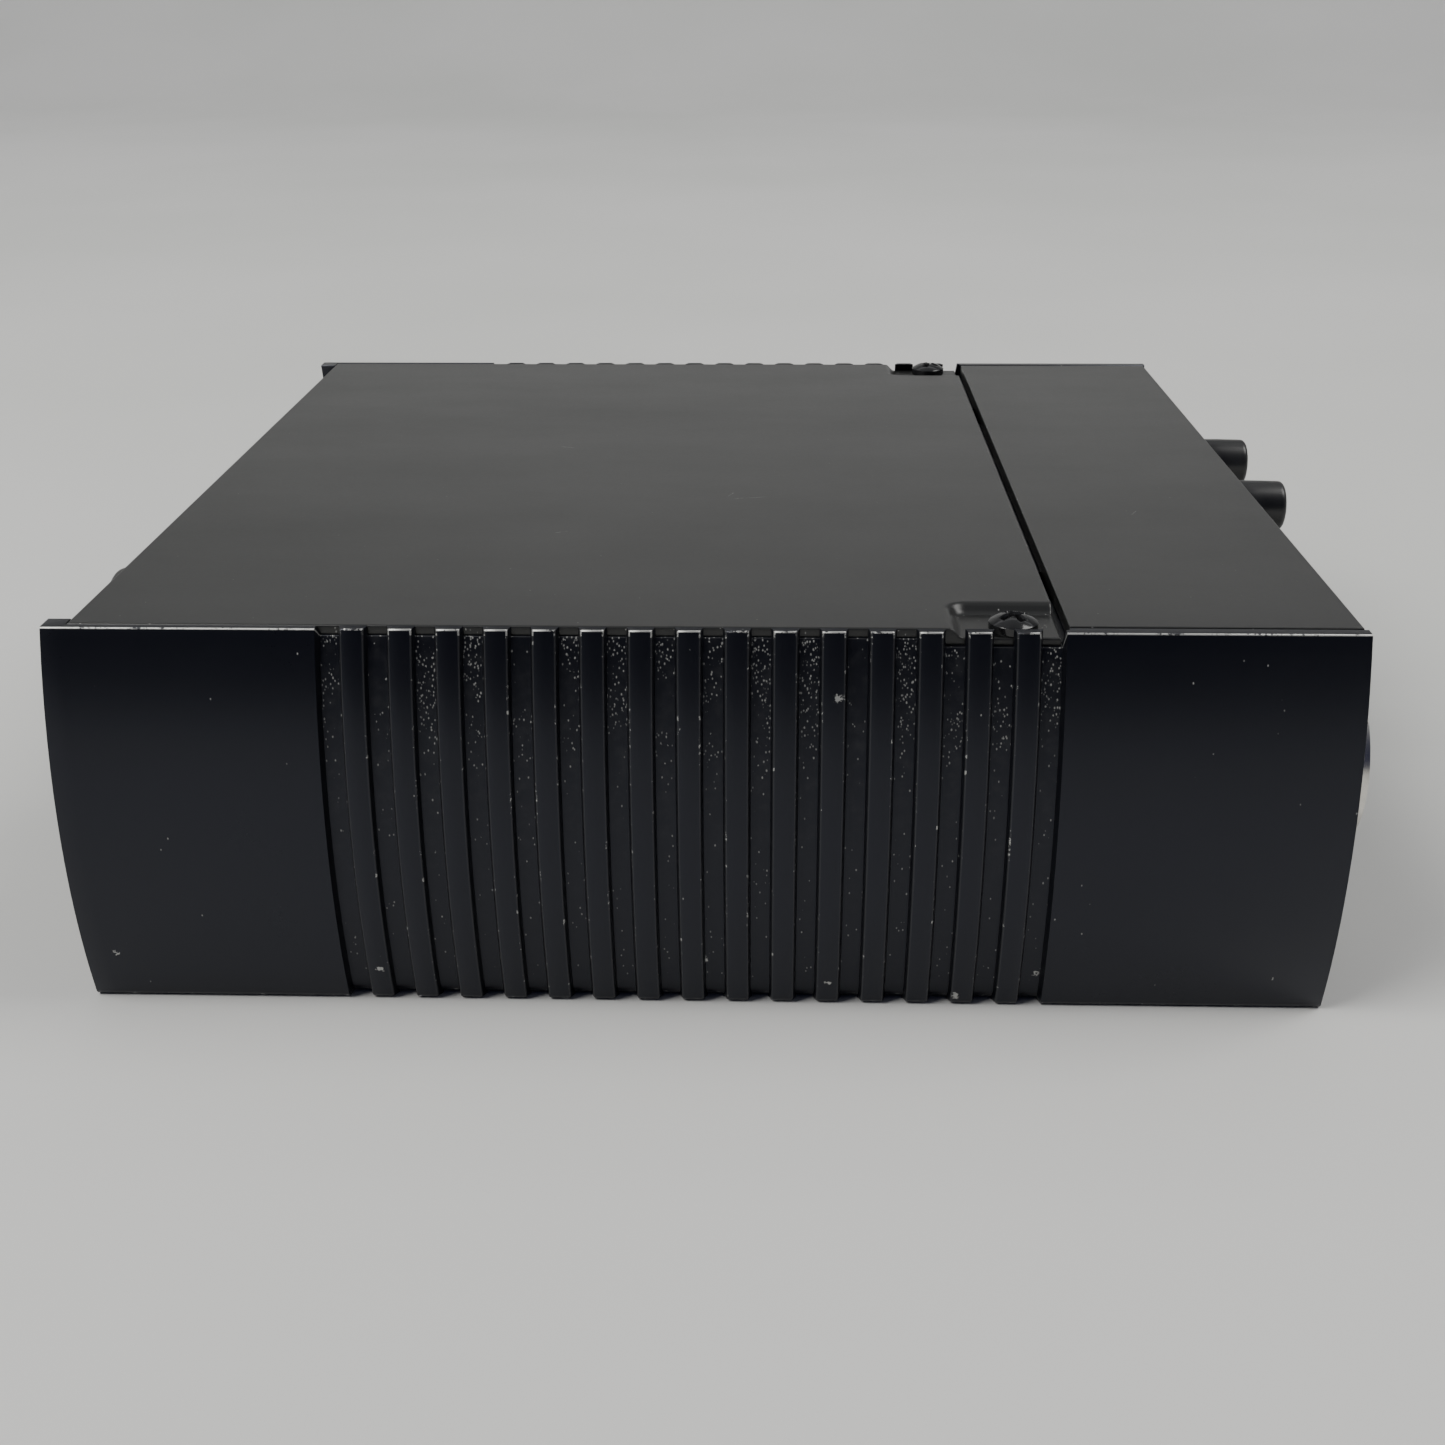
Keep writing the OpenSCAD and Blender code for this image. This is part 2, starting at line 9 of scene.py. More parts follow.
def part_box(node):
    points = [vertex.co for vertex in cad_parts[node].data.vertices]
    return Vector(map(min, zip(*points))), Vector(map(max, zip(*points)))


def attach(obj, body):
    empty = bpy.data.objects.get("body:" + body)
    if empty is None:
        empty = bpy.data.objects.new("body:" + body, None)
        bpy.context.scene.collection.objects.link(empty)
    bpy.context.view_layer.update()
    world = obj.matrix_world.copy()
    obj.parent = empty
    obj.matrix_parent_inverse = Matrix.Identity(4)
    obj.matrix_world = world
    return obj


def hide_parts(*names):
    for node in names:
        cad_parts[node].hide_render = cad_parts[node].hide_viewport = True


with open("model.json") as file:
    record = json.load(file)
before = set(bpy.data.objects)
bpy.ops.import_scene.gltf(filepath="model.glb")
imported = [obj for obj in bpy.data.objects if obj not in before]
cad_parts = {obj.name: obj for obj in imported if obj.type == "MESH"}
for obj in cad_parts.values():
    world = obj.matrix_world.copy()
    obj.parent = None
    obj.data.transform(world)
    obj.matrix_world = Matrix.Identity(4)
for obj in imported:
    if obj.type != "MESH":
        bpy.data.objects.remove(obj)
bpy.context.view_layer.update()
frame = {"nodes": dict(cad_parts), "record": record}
cadNodes = frame["nodes"]
mm = 0.001

# driving sizes of the case, in millimetres, as the frame has them
caseLow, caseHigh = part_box("case_body")
coverLow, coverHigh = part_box("top_cover")
lidLow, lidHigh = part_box("battery_lid")
case = {
    "x0": caseLow.x / mm, "x1": caseHigh.x / mm,
    "height": caseHigh.z / mm,
    "halfTop": 65.0,            # half depth across the top edges
    "bulge": 3.3,               # how far a cheek swells at mid height
    "grooveDepth": 0.95, "wall": 1.6, "bayWall": 3.4, "floor": 2.4,
    "bottomRound": 1.0, "topRound": 0.26,
    "coverX0": coverLow.x / mm, "coverX1": coverHigh.x / mm, "lidX0": lidLow.x / mm,
    "rimThick": 1.0, "coverThick": 1.8, "lidThick": 1.6, "lidEdge": 63.5, "slotEdge": 63.75, "lidGap": 0.38,
}
ribs = {"count": 15, "pitch": 5.0, "width": 2.5, "chamfer": 0.2, "root": 0.35, "draft": 0.24}
ribs["end"] = case["lidX0"] - 0.6
ribs["start"] = ribs["end"] - ribs["count"] * ribs["pitch"] - (ribs["pitch"] - ribs["width"])
sideRadius = ((case["height"] / 2) ** 2 + case["bulge"] ** 2) / (2 * case["bulge"])
sideCentre = case["halfTop"] + case["bulge"] - sideRadius


# ---- node trees: a socket that does arithmetic, and a tree that adds nodes

class Flow:
    def __init__(self, tree, socket):
        self.tree, self.socket = tree, socket

    def math(self, operation, *others, clamp=False):
        return self.tree.add("ShaderNodeMath", {"operation": operation, "use_clamp": clamp},
                             dict(enumerate((self,) + others)))

    def __add__(self, other): return self.math("ADD", other)
    def __radd__(self, other): return self.math("ADD", other)
    def __mul__(self, other): return self.math("MULTIPLY", other)
    def __rmul__(self, other): return self.math("MULTIPLY", other)
    def __sub__(self, other): return self.math("SUBTRACT", other)
    def __rsub__(self, other): return self.math("MULTIPLY_ADD", -1.0, other)
    def __truediv__(self, other): return self.math("DIVIDE", other)

    def rise(self, low, high):
        # 0 below low, 1 above high, smooth between
        return self.tree.add("ShaderNodeMapRange", {"interpolation_type": "SMOOTHSTEP"},
                             {"Value": self, "From Min": low, "From Max": high})


class Tree:
    def __init__(self, nodeTree):
        self.nodeTree = nodeTree

    def add(self, kind, settings=None, inputs=None, out=0):
        node = self.nodeTree.nodes.new(kind)
        for key, value in (settings or {}).items():
            if key == "stops":
                ramp = node.color_ramp.elements
                for index, (place, colour) in enumerate(value):
                    stop = ramp[index] if index < len(ramp) else ramp.new(place)
                    stop.position, stop.color = place, colour
            else:
                setattr(node, key, value)
        for key, value in (inputs or {}).items():
            socket = node.inputs[key]
            if isinstance(value, Flow):
                self.nodeTree.links.new(value.socket, socket)
            elif value is not None:
                socket.default_value = value
        return Flow(self, node.outputs[out])

    def noise(self, where, scale, detail=3.0, roughness=0.55):
        return self.add("ShaderNodeTexNoise", {"noise_dimensions": "3D"},
                        {"Vector": where, "Scale": scale, "Detail": detail, "Roughness": roughness})

    def cells(self, where, scale, out=0, feature="F1"):
        return self.add("ShaderNodeTexVoronoi", {"feature": feature}, {"Vector": where, "Scale": scale}, out)

    def mixColour(self, factor, a, b):
        flow = self.add("ShaderNodeMix", {"data_type": "RGBA"}, {0: factor}, 2)
        for index, value in ((6, a), (7, b)):
            socket = flow.socket.node.inputs[index]
            if isinstance(value, Flow):
                self.nodeTree.links.new(value.socket, socket)
            else:
                socket.default_value = value
        return flow

    def stretched(self, where, scale=(1, 1, 1), turn=(0, 0, 0), shift=(0, 0, 0)):
        return self.add("ShaderNodeMapping", None,
                        {"Vector": where, "Location": shift, "Rotation": turn, "Scale": scale})

    def split(self, where):
        node = self.add("ShaderNodeSeparateXYZ", None, {0: where}).socket.node
        return [Flow(self, node.outputs[i]) for i in range(3)]

    def attribute(self, name):
        return self.add("ShaderNodeAttribute", {"attribute_name": name}, None, 2)


def newMaterial(name):
    material = bpy.data.materials.new(name)
    material.use_nodes = True
    material.node_tree.nodes.clear()
    return material, Tree(material.node_tree)


def closeMaterial(tree, inputs, bump=None):
    # bump is (height, strength, distance)
    if bump:
        inputs["Normal"] = tree.add("ShaderNodeBump", None,
                                    {"Height": bump[0], "Strength": bump[1], "Distance": bump[2]})
    surface = tree.add("ShaderNodeBsdfPrincipled", None, inputs)
    output = tree.nodeTree.nodes.new("ShaderNodeOutputMaterial")
    tree.nodeTree.links.new(surface.socket, output.inputs["Surface"])


def rgb(r, g, b):
    return (r, g, b, 1.0)


# ---- materials

# grain: bump of the sprayed coat; edge: how readily edges wear; specks: dust in the grooves
paints = {
    "castPaint": {"colour": (0.0035, 0.0038, 0.0055), "rough": 0.30, "grain": 0.05, "edge": 1.0, "specks": 1.0,
                  "chips": 1.0, "sheen": (0.82, 0.85, 1.0), "marks": []},
    "coverPaint": {"colour": (0.0060, 0.0063, 0.0062), "rough": 0.32, "grain": 0.03, "edge": 0.8, "specks": 0.6, "chips": 0.0, "ior": 1.52,
                   "marks": [(4.5, -16.0, 12, 5.2), (2.0, -14.5, 70, 2.2), (-18.0, -31.0, 25, 2.0), (-21.5, 9.0, -14, 3.0)]},
    "lidPaint": {"colour": (0.0060, 0.0063, 0.0063), "rough": 0.32, "grain": 0.03, "edge": 0.8, "specks": 0.5, "chips": 0.0, "ior": 1.52,
                 "marks": [(52.0, -22.0, 60, 2.4)]},
    "panelPaint": {"colour": (0.0070, 0.0073, 0.0080), "rough": 0.44, "grain": 0.10, "edge": 0.8, "specks": 0.5,
                   "chips": 0.3, "marks": []},
}
# how far each kind of edge is worn through, against noise that centres on one half; the same level also lightens the
# edge a little as a painted edge highlight
wearAndHighlightLevel = {"line": 0.56, "corner": 0.52, "rim": 0.52, "side": 0.39, "low": 0.42, "groove": 0.40, "plate": 0.37}
# colour of bare metal, and also the colour the faint painted edge highlight mixes toward
bareMetalAndHighlight = (0.46, 0.46, 0.44)
dustColour = (0.42, 0.42, 0.40)


def scratchMask(tree, where, marks):
    # each mark is (x, y, degrees, length) on the flat top, in millimetres
    total = None
    for x, y, degrees, length in marks:
        local = tree.stretched(where, (1000, 1000, 1000), (0, 0, math.radians(-degrees)),
                               tuple(Matrix.Rotation(math.radians(-degrees), 3, "Z") @ Vector((-x, -y, 0))))
        along, across, _ = tree.split(local)
        wobble = (tree.noise(where, 900, 2.0) - 0.5) * 0.5
        line = (1 - (across + wobble).math("ABSOLUTE").rise(0.02, 0.11)) * (1 - along.math("ABSOLUTE").rise(length * 0.25, length * 0.5))
        total = line if total is None else total.math("MAXIMUM", line)
    return total


def paintMaterial(name, look):
    material, tree = newMaterial(name)
    where = tree.add("ShaderNodeTexCoord", None, None, 3)
    wearAndHighlight = tree.attribute("wearAndHighlight")
    groove = tree.attribute("groove")
    height = tree.split(where)[2]
    # worn edges: bare where the wear of a face beats the noise
    coarse = tree.noise(where, 230, 4.0, 0.65)
    fine = tree.noise(where, 2600, 3.0, 0.6)
    bare = (wearAndHighlight * look["edge"] - coarse * 0.5 - fine * 0.5).rise(-0.02, 0.05)
    # chips: a few knocks near the foot of the sides, and small ones along every edge
    chipCells = tree.cells(where, 150) + (fine - 0.5) * 0.22
    chipPick = tree.split(tree.cells(where, 150, 1))[1]
    low = 1 - height.rise(0.010, 0.030)
    knocks = (1 - chipCells.rise(0.035, 0.065)) * (chipPick.math("LESS_THAN", low * 0.75 + 0.06))
    nickCells = tree.cells(where, 620) + (fine - 0.5) * 0.5
    nicks = (1 - nickCells.rise(0.10, 0.16)) * wearAndHighlight.rise(0.15, 0.35) * coarse.rise(0.46, 0.56)
    bare = bare.math("MAXIMUM", knocks * look["chips"]).math("MAXIMUM", nicks * look["edge"])
    marks = scratchMask(tree, where, look["marks"])
    if marks is not None:
        bare = bare.math("MAXIMUM", marks * fine.rise(0.3, 0.6) * 0.55)
    # dust: pale specks of two sizes, thick in the upper part of the grooves
    tilted = tree.stretched(where, (1, 1, 0.62), (0.5, 0.9, 0.3))
    drift = tree.noise(where, 110, 3.0).rise(0.40, 0.58)
    amount = groove * (height.rise(0.026, 0.044) * drift * 0.95 + 0.035) * look["specks"]
    dust = None
    for scale, core, rim, share in ((3300, 0.10, 0.38, 1.3), (2100, 0.08, 0.24, 1.0), (1300, 0.05, 0.15, 0.5)):
        spot = (1 - (tree.cells(tilted, scale) + (fine - 0.5) * 0.25).rise(core, rim)) * tree.split(tree.cells(tilted, scale, 1))[0].math(
            "LESS_THAN", amount * share + 0.0012)
        dust = spot if dust is None else dust.math("MAXIMUM", spot)
    film = groove * height.rise(0.004, 0.042) * tree.noise(where, 700, 4.0).rise(0.4, 0.8) * 0.03
    colour = tree.mixColour(tree.noise(where, 30, 3.0).rise(0.3, 0.7) * 0.35, rgb(*look["colour"]),
                            rgb(*[c * 1.6 for c in look["colour"]]))
    colour = tree.mixColour(film + dust * 0.7, colour, rgb(*dustColour))
    # bare metal where the paint is worn through, plus a faint painted edge highlight: every edge with a level above 0.2
    # is lightened a little toward the bare colour
    colour = tree.mixColour(wearAndHighlight.rise(0.2, 0.6) * 0.06 + bare * 0.94, colour, rgb(*bareMetalAndHighlight))
    smudge = tree.noise(tree.stretched(where, (1, 2.2, 1)), 26, 4.0, 0.6)
    rough = look["rough"] + (smudge - 0.5) * 0.12 + (fine - 0.5) * 0.05
    rough = (rough + groove * 0.06) * (1 - dust) + dust * 0.9
    rough = rough * (1 - bare) + bare * 0.42
    metal = bare * 0.8
    grain = tree.noise(where, 3400, 2.0) * look["grain"] + tree.noise(where, 1100, 2.0) * groove * 0.35
    closeMaterial(tree, {"Base Color": colour, "Roughness": rough, "Metallic": metal, "IOR": look.get("ior", 1.43),
                         "Specular Tint": rgb(*look.get("sheen", (1.0, 1.0, 1.0)))},
                  (grain + dust * 0.5 - bare * 0.35, 0.35, 0.00012))
    return material


# plain finishes: colour, roughness, metallic, grain scale, how much the grain shows, second colour share
finishes = {
    "blackOxide": {"colour": (0.010, 0.010, 0.011), "rough": 0.16, "metal": 0.0, "scale": 900, "grain": 0.05, "vary": 0.25},
    "nickelPlate": {"colour": (0.62, 0.60, 0.56), "rough": 0.24, "metal": 1.0, "scale": 700, "grain": 0.04, "vary": 0.18},
    "brushedSteel": {"colour": (0.50, 0.50, 0.51), "rough": 0.36, "metal": 1.0, "scale": 500, "grain": 0.10, "vary": 0.20},
    "springBrass": {"colour": (0.70, 0.55, 0.27), "rough": 0.30, "metal": 1.0, "scale": 600, "grain": 0.06, "vary": 0.20},
    "silverPin": {"colour": (0.72, 0.70, 0.62), "rough": 0.22, "metal": 1.0, "scale": 800, "grain": 0.04, "vary": 0.20},
    "socketPlastic": {"colour": (0.018, 0.018, 0.020), "rough": 0.50, "metal": 0.0, "scale": 1600, "grain": 0.12, "vary": 0.35},
    "knobPlastic": {"colour": (0.060, 0.060, 0.058), "rough": 0.52, "metal": 0.0, "scale": 1500, "grain": 0.16, "vary": 0.35},
    "buttonPlastic": {"colour": (0.011, 0.011, 0.012), "rough": 0.33, "metal": 0.0, "scale": 1400, "grain": 0.07, "vary": 0.35},
    "lampRed": {"colour": (0.38, 0.022, 0.016), "rough": 0.16, "metal": 0.0, "scale": 500, "grain": 0.02, "vary": 0.25},
    "solderMask": {"colour": (0.018, 0.105, 0.045), "rough": 0.32, "metal": 0.0, "scale": 260, "grain": 0.10, "vary": 0.60},
    "nylonWhite": {"colour": (0.66, 0.62, 0.50), "rough": 0.45, "metal": 0.0, "scale": 900, "grain": 0.06, "vary": 0.20},
    "coreSteel": {"colour": (0.20, 0.20, 0.21), "rough": 0.42, "metal": 0.9, "scale": 2200, "grain": 0.45, "vary": 0.40,
                  "stretch": (0.02, 1, 0.02)},
    "coilTape": {"colour": (0.46, 0.26, 0.07), "rough": 0.28, "metal": 0.0, "scale": 420, "grain": 0.20, "vary": 0.45},
    "chipEpoxy": {"colour": (0.016, 0.016, 0.018), "rough": 0.55, "metal": 0.0, "scale": 2400, "grain": 0.22, "vary": 0.30},
    "capSleeve": {"colour": (0.018, 0.030, 0.11), "rough": 0.30, "metal": 0.0, "scale": 600, "grain": 0.04, "vary": 0.30},
    "resistorLacquer": {"colour": (0.52, 0.37, 0.19), "rough": 0.35, "metal": 0.0, "scale": 1500, "grain": 0.08, "vary": 0.40},
    "cellJacket": {"colour": (0.035, 0.038, 0.045), "rough": 0.30, "metal": 0.35, "scale": 300, "grain": 0.05, "vary": 0.30},
    "snapVinyl": {"colour": (0.016, 0.016, 0.016), "rough": 0.46, "metal": 0.0, "scale": 900, "grain": 0.15, "vary": 0.35},
    "leadRed": {"colour": (0.42, 0.016, 0.014), "rough": 0.38, "metal": 0.0, "scale": 900, "grain": 0.05, "vary": 0.25},
    "leadWhite": {"colour": (0.66, 0.65, 0.60), "rough": 0.40, "metal": 0.0, "scale": 900, "grain": 0.05, "vary": 0.20},
    "padFoam": {"colour": (0.030, 0.030, 0.033), "rough": 0.92, "metal": 0.0, "scale": 1300, "grain": 0.90, "vary": 0.80},
    "markWhite": {"colour": (0.62, 0.62, 0.60), "rough": 0.45, "metal": 0.0, "scale": 1200, "grain": 0.08, "vary": 0.25},
}


def finishMaterial(name, look):
    material, tree = newMaterial(name)
    where = tree.add("ShaderNodeTexCoord", None, None, 3)
    laid = tree.stretched(where, look.get("stretch", (1, 1, 1)))
    grain = tree.noise(laid, look["scale"], 4.0, 0.6)
    cloud = tree.noise(where, look["scale"] * 0.12, 3.0)
    scuff = tree.noise(tree.stretched(where, (1, 6, 1), (0.4, 0.7, 0.9)), look["scale"] * 0.6, 4.0, 0.7).rise(0.62, 0.72)
    dark = rgb(*[c * (1 - look["vary"]) for c in look["colour"]])
    light = rgb(*[min(1.0, c * (1 + look["vary"])) for c in look["colour"]])
    colour = tree.mixColour((cloud * 0.6 + grain * 0.4).rise(0.3, 0.7), dark, light)
    rough = look["rough"] + (cloud - 0.5) * 0.14 + scuff * 0.10
    closeMaterial(tree, {"Base Color": colour, "Roughness": rough, "Metallic": look["metal"]},
                  (grain * look["grain"] - scuff * 0.04, 0.4, 0.00015))
    return material


materials = {name: paintMaterial(name, look) for name, look in paints.items()}
materials.update({name: finishMaterial(name, look) for name, look in finishes.items()})
print("materials made", len(materials))


# ---- meshes

def shellObject(name, verts, faces, wearAndHighlight=None, groove=None, smoothAngle=38):
    # verts in millimetres; the edge wear level, which also sets the painted edge highlight, and groove are one value a
    # face
    builder = bmesh.new()
    made = [builder.verts.new(Vector(v) * mm) for v in verts]
    wearAndHighlightLayer = builder.faces.layers.float.new("wearAndHighlight")
    grooveLayer = builder.faces.layers.float.new("groove")
    for index, face in enumerate(faces):
        if len(set(face)) < 3:
            continue
        polygon = builder.faces.new([made[i] for i in face])
        polygon[wearAndHighlightLayer] = wearAndHighlight[index] if wearAndHighlight else 0.0
        polygon[grooveLayer] = groove[index] if groove else 0.0
    return closeBuilder(name, builder, smoothAngle)


def closeBuilder(name, builder, smoothAngle=38):
    bmesh.ops.remove_doubles(builder, verts=builder.verts, dist=1e-6)
    bmesh.ops.dissolve_degenerate(builder, dist=1e-6, edges=builder.edges)
    bmesh.ops.recalc_face_normals(builder, faces=builder.faces)
    mesh = bpy.data.meshes.new(name)
    builder.to_mesh(mesh)
    builder.free()
    mesh.shade_smooth()
    mesh.set_sharp_from_angle(angle=math.radians(smoothAngle))
    thing = bpy.data.objects.new(name, mesh)
    bpy.context.scene.collection.objects.link(thing)
    return thing


def finishPiece(thing, material, body, slotName, *replaced):
    thing.data.materials.clear()
    thing.data.materials.append(materials[material])
    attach(thing, body)
    if replaced:
        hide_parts(*replaced)
    return thing


def loft(rings, closed=True, caps=True):
    # rings of equal length; returns verts and faces of the tube through them
    verts = [p for ring in rings for p in ring]
    count = len(rings[0])
    faces = []
    last = count if closed else count - 1
    for i in range(len(rings) - 1):
        for k in range(last):
            n = (k + 1) % count
            faces.append((i * count + k, i * count + n, (i + 1) * count + n, (i + 1) * count + k))
    if caps:
        faces.append(tuple(range(count)))
        faces.append(tuple((len(rings) - 1) * count + k for k in reversed(range(count))))
    return verts, faces


def lathe(name, profile, centre, steps=72, bump=None, smoothAngle=38):
    # profile is (x, radius) from one end to the other, about an axis along X; bump(angle, x) changes the radius
    y, z = centre
    rings = []
    for x, radius in profile:
        ring = []
        for k in range(steps):
            angle = 2 * math.pi * k / steps
            r = max(0.0, radius - (bump(angle, x) if bump else 0.0))
            ring.append((x, y + r * math.cos(angle), z + r * math.sin(angle)))
        rings.append(ring)
    return shellObject(name, *loft(rings), smoothAngle=smoothAngle)


def bevelledCopy(node, name, width, segments=3, angle=30, smoothAngle=20):
    builder = bmesh.new()
    builder.from_mesh(cadNodes[node].data)
    bmesh.ops.remove_doubles(builder, verts=builder.verts, dist=2e-6)
    bmesh.ops.dissolve_limit(builder, angle_limit=math.radians(0.5), verts=builder.verts, edges=builder.edges)
    wearAndHighlightLayer = builder.faces.layers.float.new("wearAndHighlight")
    builder.faces.layers.float.new("groove")
    sharp = [e for e in builder.edges if len(e.link_faces) == 2 and e.calc_face_angle(0.0) > math.radians(angle)]
    rounded = bmesh.ops.bevel(builder, geom=sharp, offset=width * mm, segments=segments, profile=0.5,
                              affect="EDGES", clamp_overlap=True, offset_type="OFFSET")
    for polygon in rounded["faces"]:
        polygon[wearAndHighlightLayer] = wearAndHighlightLevel["rim"]
    return closeBuilder(name, builder, smoothAngle)


# ---- case shell: one section along the depth, carried along the length

def cornerOutline(inset, radius, steps, sign, topZ=None):
    # rounding between a bulging side and the top (sign 1) or bottom (sign -1) plane, on the +Y side
    height = case["height"]
    half = height / 2 if topZ is None else (topZ - height / 2)
    r = sideRadius - inset
    cy = sideCentre + math.sqrt((r - radius) ** 2 - (half - radius) ** 2)
    cz = height / 2 + sign * (half - radius)
    start = math.atan2(cz - height / 2, cy - sideCentre)
    end = sign * math.pi / 2
    points = []
    for i in range(steps + 1):
        a = start + (end - start) * i / steps
        points.append((cy + radius * math.cos(a), cz + radius * math.sin(a)))
    return points, start


def sidePoint(inset, angle):
    r = sideRadius - inset
    return (sideCentre + r * math.cos(angle), case["height"] / 2 + r * math.sin(angle))


def sideAtHeight(inset, z):
    r = sideRadius - inset
    return sideCentre + math.sqrt(r * r - (z - case["height"] / 2) ** 2)


def caseSection(kind, groove):
    # +Y half of the section, from the middle of the underside round to the middle of the floor
    height, floor = case["height"], case["floor"]
    depth = case["grooveDepth"]
    inset = depth if groove else 0.0
    bottom, low = cornerOutline(inset, case["bottomRound"] + (0.9 if groove else 0.0), 5, -1)
    ledge = {"end": height, "cover": height - case["rimThick"], "pocket": height - case["coverThick"],
             "lid": height - case["lidThick"] - 0.15}[kind]
    lipZ = ledge if groove else height
    top, high = cornerOutline(inset, case["topRound"] if not groove else 0.12, 4, 1, lipZ)
    outer = [(0.0, 0.0)] + bottom[::-1]
    outer += [sidePoint(inset, low + (high - low) * i / 22) for i in range(1, 22)]
    outer += top
    wallInset = {"end": depth + case["wall"], "cover": depth + case["wall"],
                 "pocket": depth + case["wall"], "lid": case["bayWall"]}[kind]
    lipY = {"end": sideAtHeight(wallInset, height), "cover": case["halfTop"] - depth,
            "pocket": case["halfTop"] - depth, "lid": case["lidEdge"]}[kind]
    if groove:
        lip = [(lipY - 0.2, lipZ)] * 6
    elif kind == "lid":
        lip = [(lipY + 0.12, height), (lipY, height - 0.12), (lipY, height - 0.75), (case["slotEdge"], height - 0.75),
               (case["slotEdge"], ledge), (lipY, ledge)]
    else:
        lip = [(lipY + 0.12, height), (lipY, height - 0.12)] + [(lipY, ledge if kind != "end" else height - 0.12)] * 4
    innerTop = ledge if kind != "end" else height - 0.12
    heights = [innerTop + (floor - innerTop) * i / 12 for i in range(13)]
    inner = [(sideAtHeight(wallInset, z), z) for z in heights] + [(0.0, floor)]
    return outer + lip + inner


def mirroredRing(half, x):
    ring = [(x, y, z) for y, z in half]
    ring += [(x, -y, z) for y, z in reversed(half[1:-1])]
    return ring


def buildCaseShell():
    pocketX = case["coverX1"] - 10.8 - 1.3
    step = 0.03
    stations = [
        (case["x0"], "end", False), (case["coverX0"] - step, "end", False), (case["coverX0"], "cover", False),
        (ribs["start"] - 0.10, "cover", False), (ribs["start"] + ribs["draft"], "cover", True),
        (pocketX - step, "cover", True), (pocketX, "pocket", True),
        (ribs["end"] - ribs["draft"], "pocket", True), (ribs["end"] + 0.10, "pocket", False),
        (case["lidX0"] - 0.1 - step, "pocket", False), (case["lidX0"] - 0.1, "lid", False),
        (case["x1"], "lid", False)]
    rings = [mirroredRing(caseSection(kind, groove), x) for x, kind, groove in stations]
    verts, faces = loft(rings)
    count = len(rings[0])
    half = len(caseSection("end", False))
    wearAndHighlight, hollow = [], []
    for i in range(len(rings) - 1):
        for k in range(count):
            j = k if k < half else count - k - 1      # same segment on the mirrored side
            edge = wearAndHighlightLevel["line"] if 28 <= j <= 30 else (wearAndHighlightLevel["low"] if 1 <= j <= 4 else 0.0)
            if stations[i][2] and stations[i + 1][2] and edge:
                edge = wearAndHighlightLevel["groove"]
            wearAndHighlight.append(edge)
            hollow.append(1.0 if stations[i][2] and stations[i + 1][2] and 6 < j < 32 else 0.0)
    wearAndHighlight += [0.0, 0.0]
    hollow += [0.0, 0.0]
    shell = shellObject("caseShell", verts, faces, wearAndHighlight, hollow)
    # soften the rims of both ends
    builder = bmesh.new()
    builder.from_mesh(shell.data)
    wearAndHighlightLayer = builder.faces.layers.float["wearAndHighlight"]
    rims = []
    for e in builder.edges:
        onEnd = all(min(abs(v.co.x - case["x0"] * mm), abs(v.co.x - case["x1"] * mm)) < 1e-6 for v in e.verts)
        if onEnd and len(e.link_faces) == 2 and e.calc_face_angle(0.0) > math.radians(50):
            rims.append(e)
    rounded = bmesh.ops.bevel(builder, geom=rims, offset=0.18 * mm, segments=2, profile=0.5, affect="EDGES",
                              clamp_overlap=True)
    for polygon in rounded["faces"]:
        polygon[wearAndHighlightLayer] = wearAndHighlightLevel["rim"]
    bpy.data.objects.remove(shell)
    return closeBuilder("caseShell", builder)


def boxVerts(low, high):
    return [(x, y, z) for x in (low[0], high[0]) for y in (low[1], high[1]) for z in (low[2], high[2])]


boxFaces = [(0, 1, 3, 2), (4, 6, 7, 5), (0, 4, 5, 1), (2, 3, 7, 6), (0, 2, 6, 4), (1, 5, 7, 3)]

inside = {"partitionBack": 2.1, "partitionFront": 0.7, "notches": [(-50, 10), (30, 10)], "notchZ": 30.0,
          "bossRadius": 3.4, "bossTall": 9.0, "screwFromSeam": 4.7, "screwIn": 3.6,
          "postRadius": 3.2, "postInset": 6.0, "postStep": 24.0}


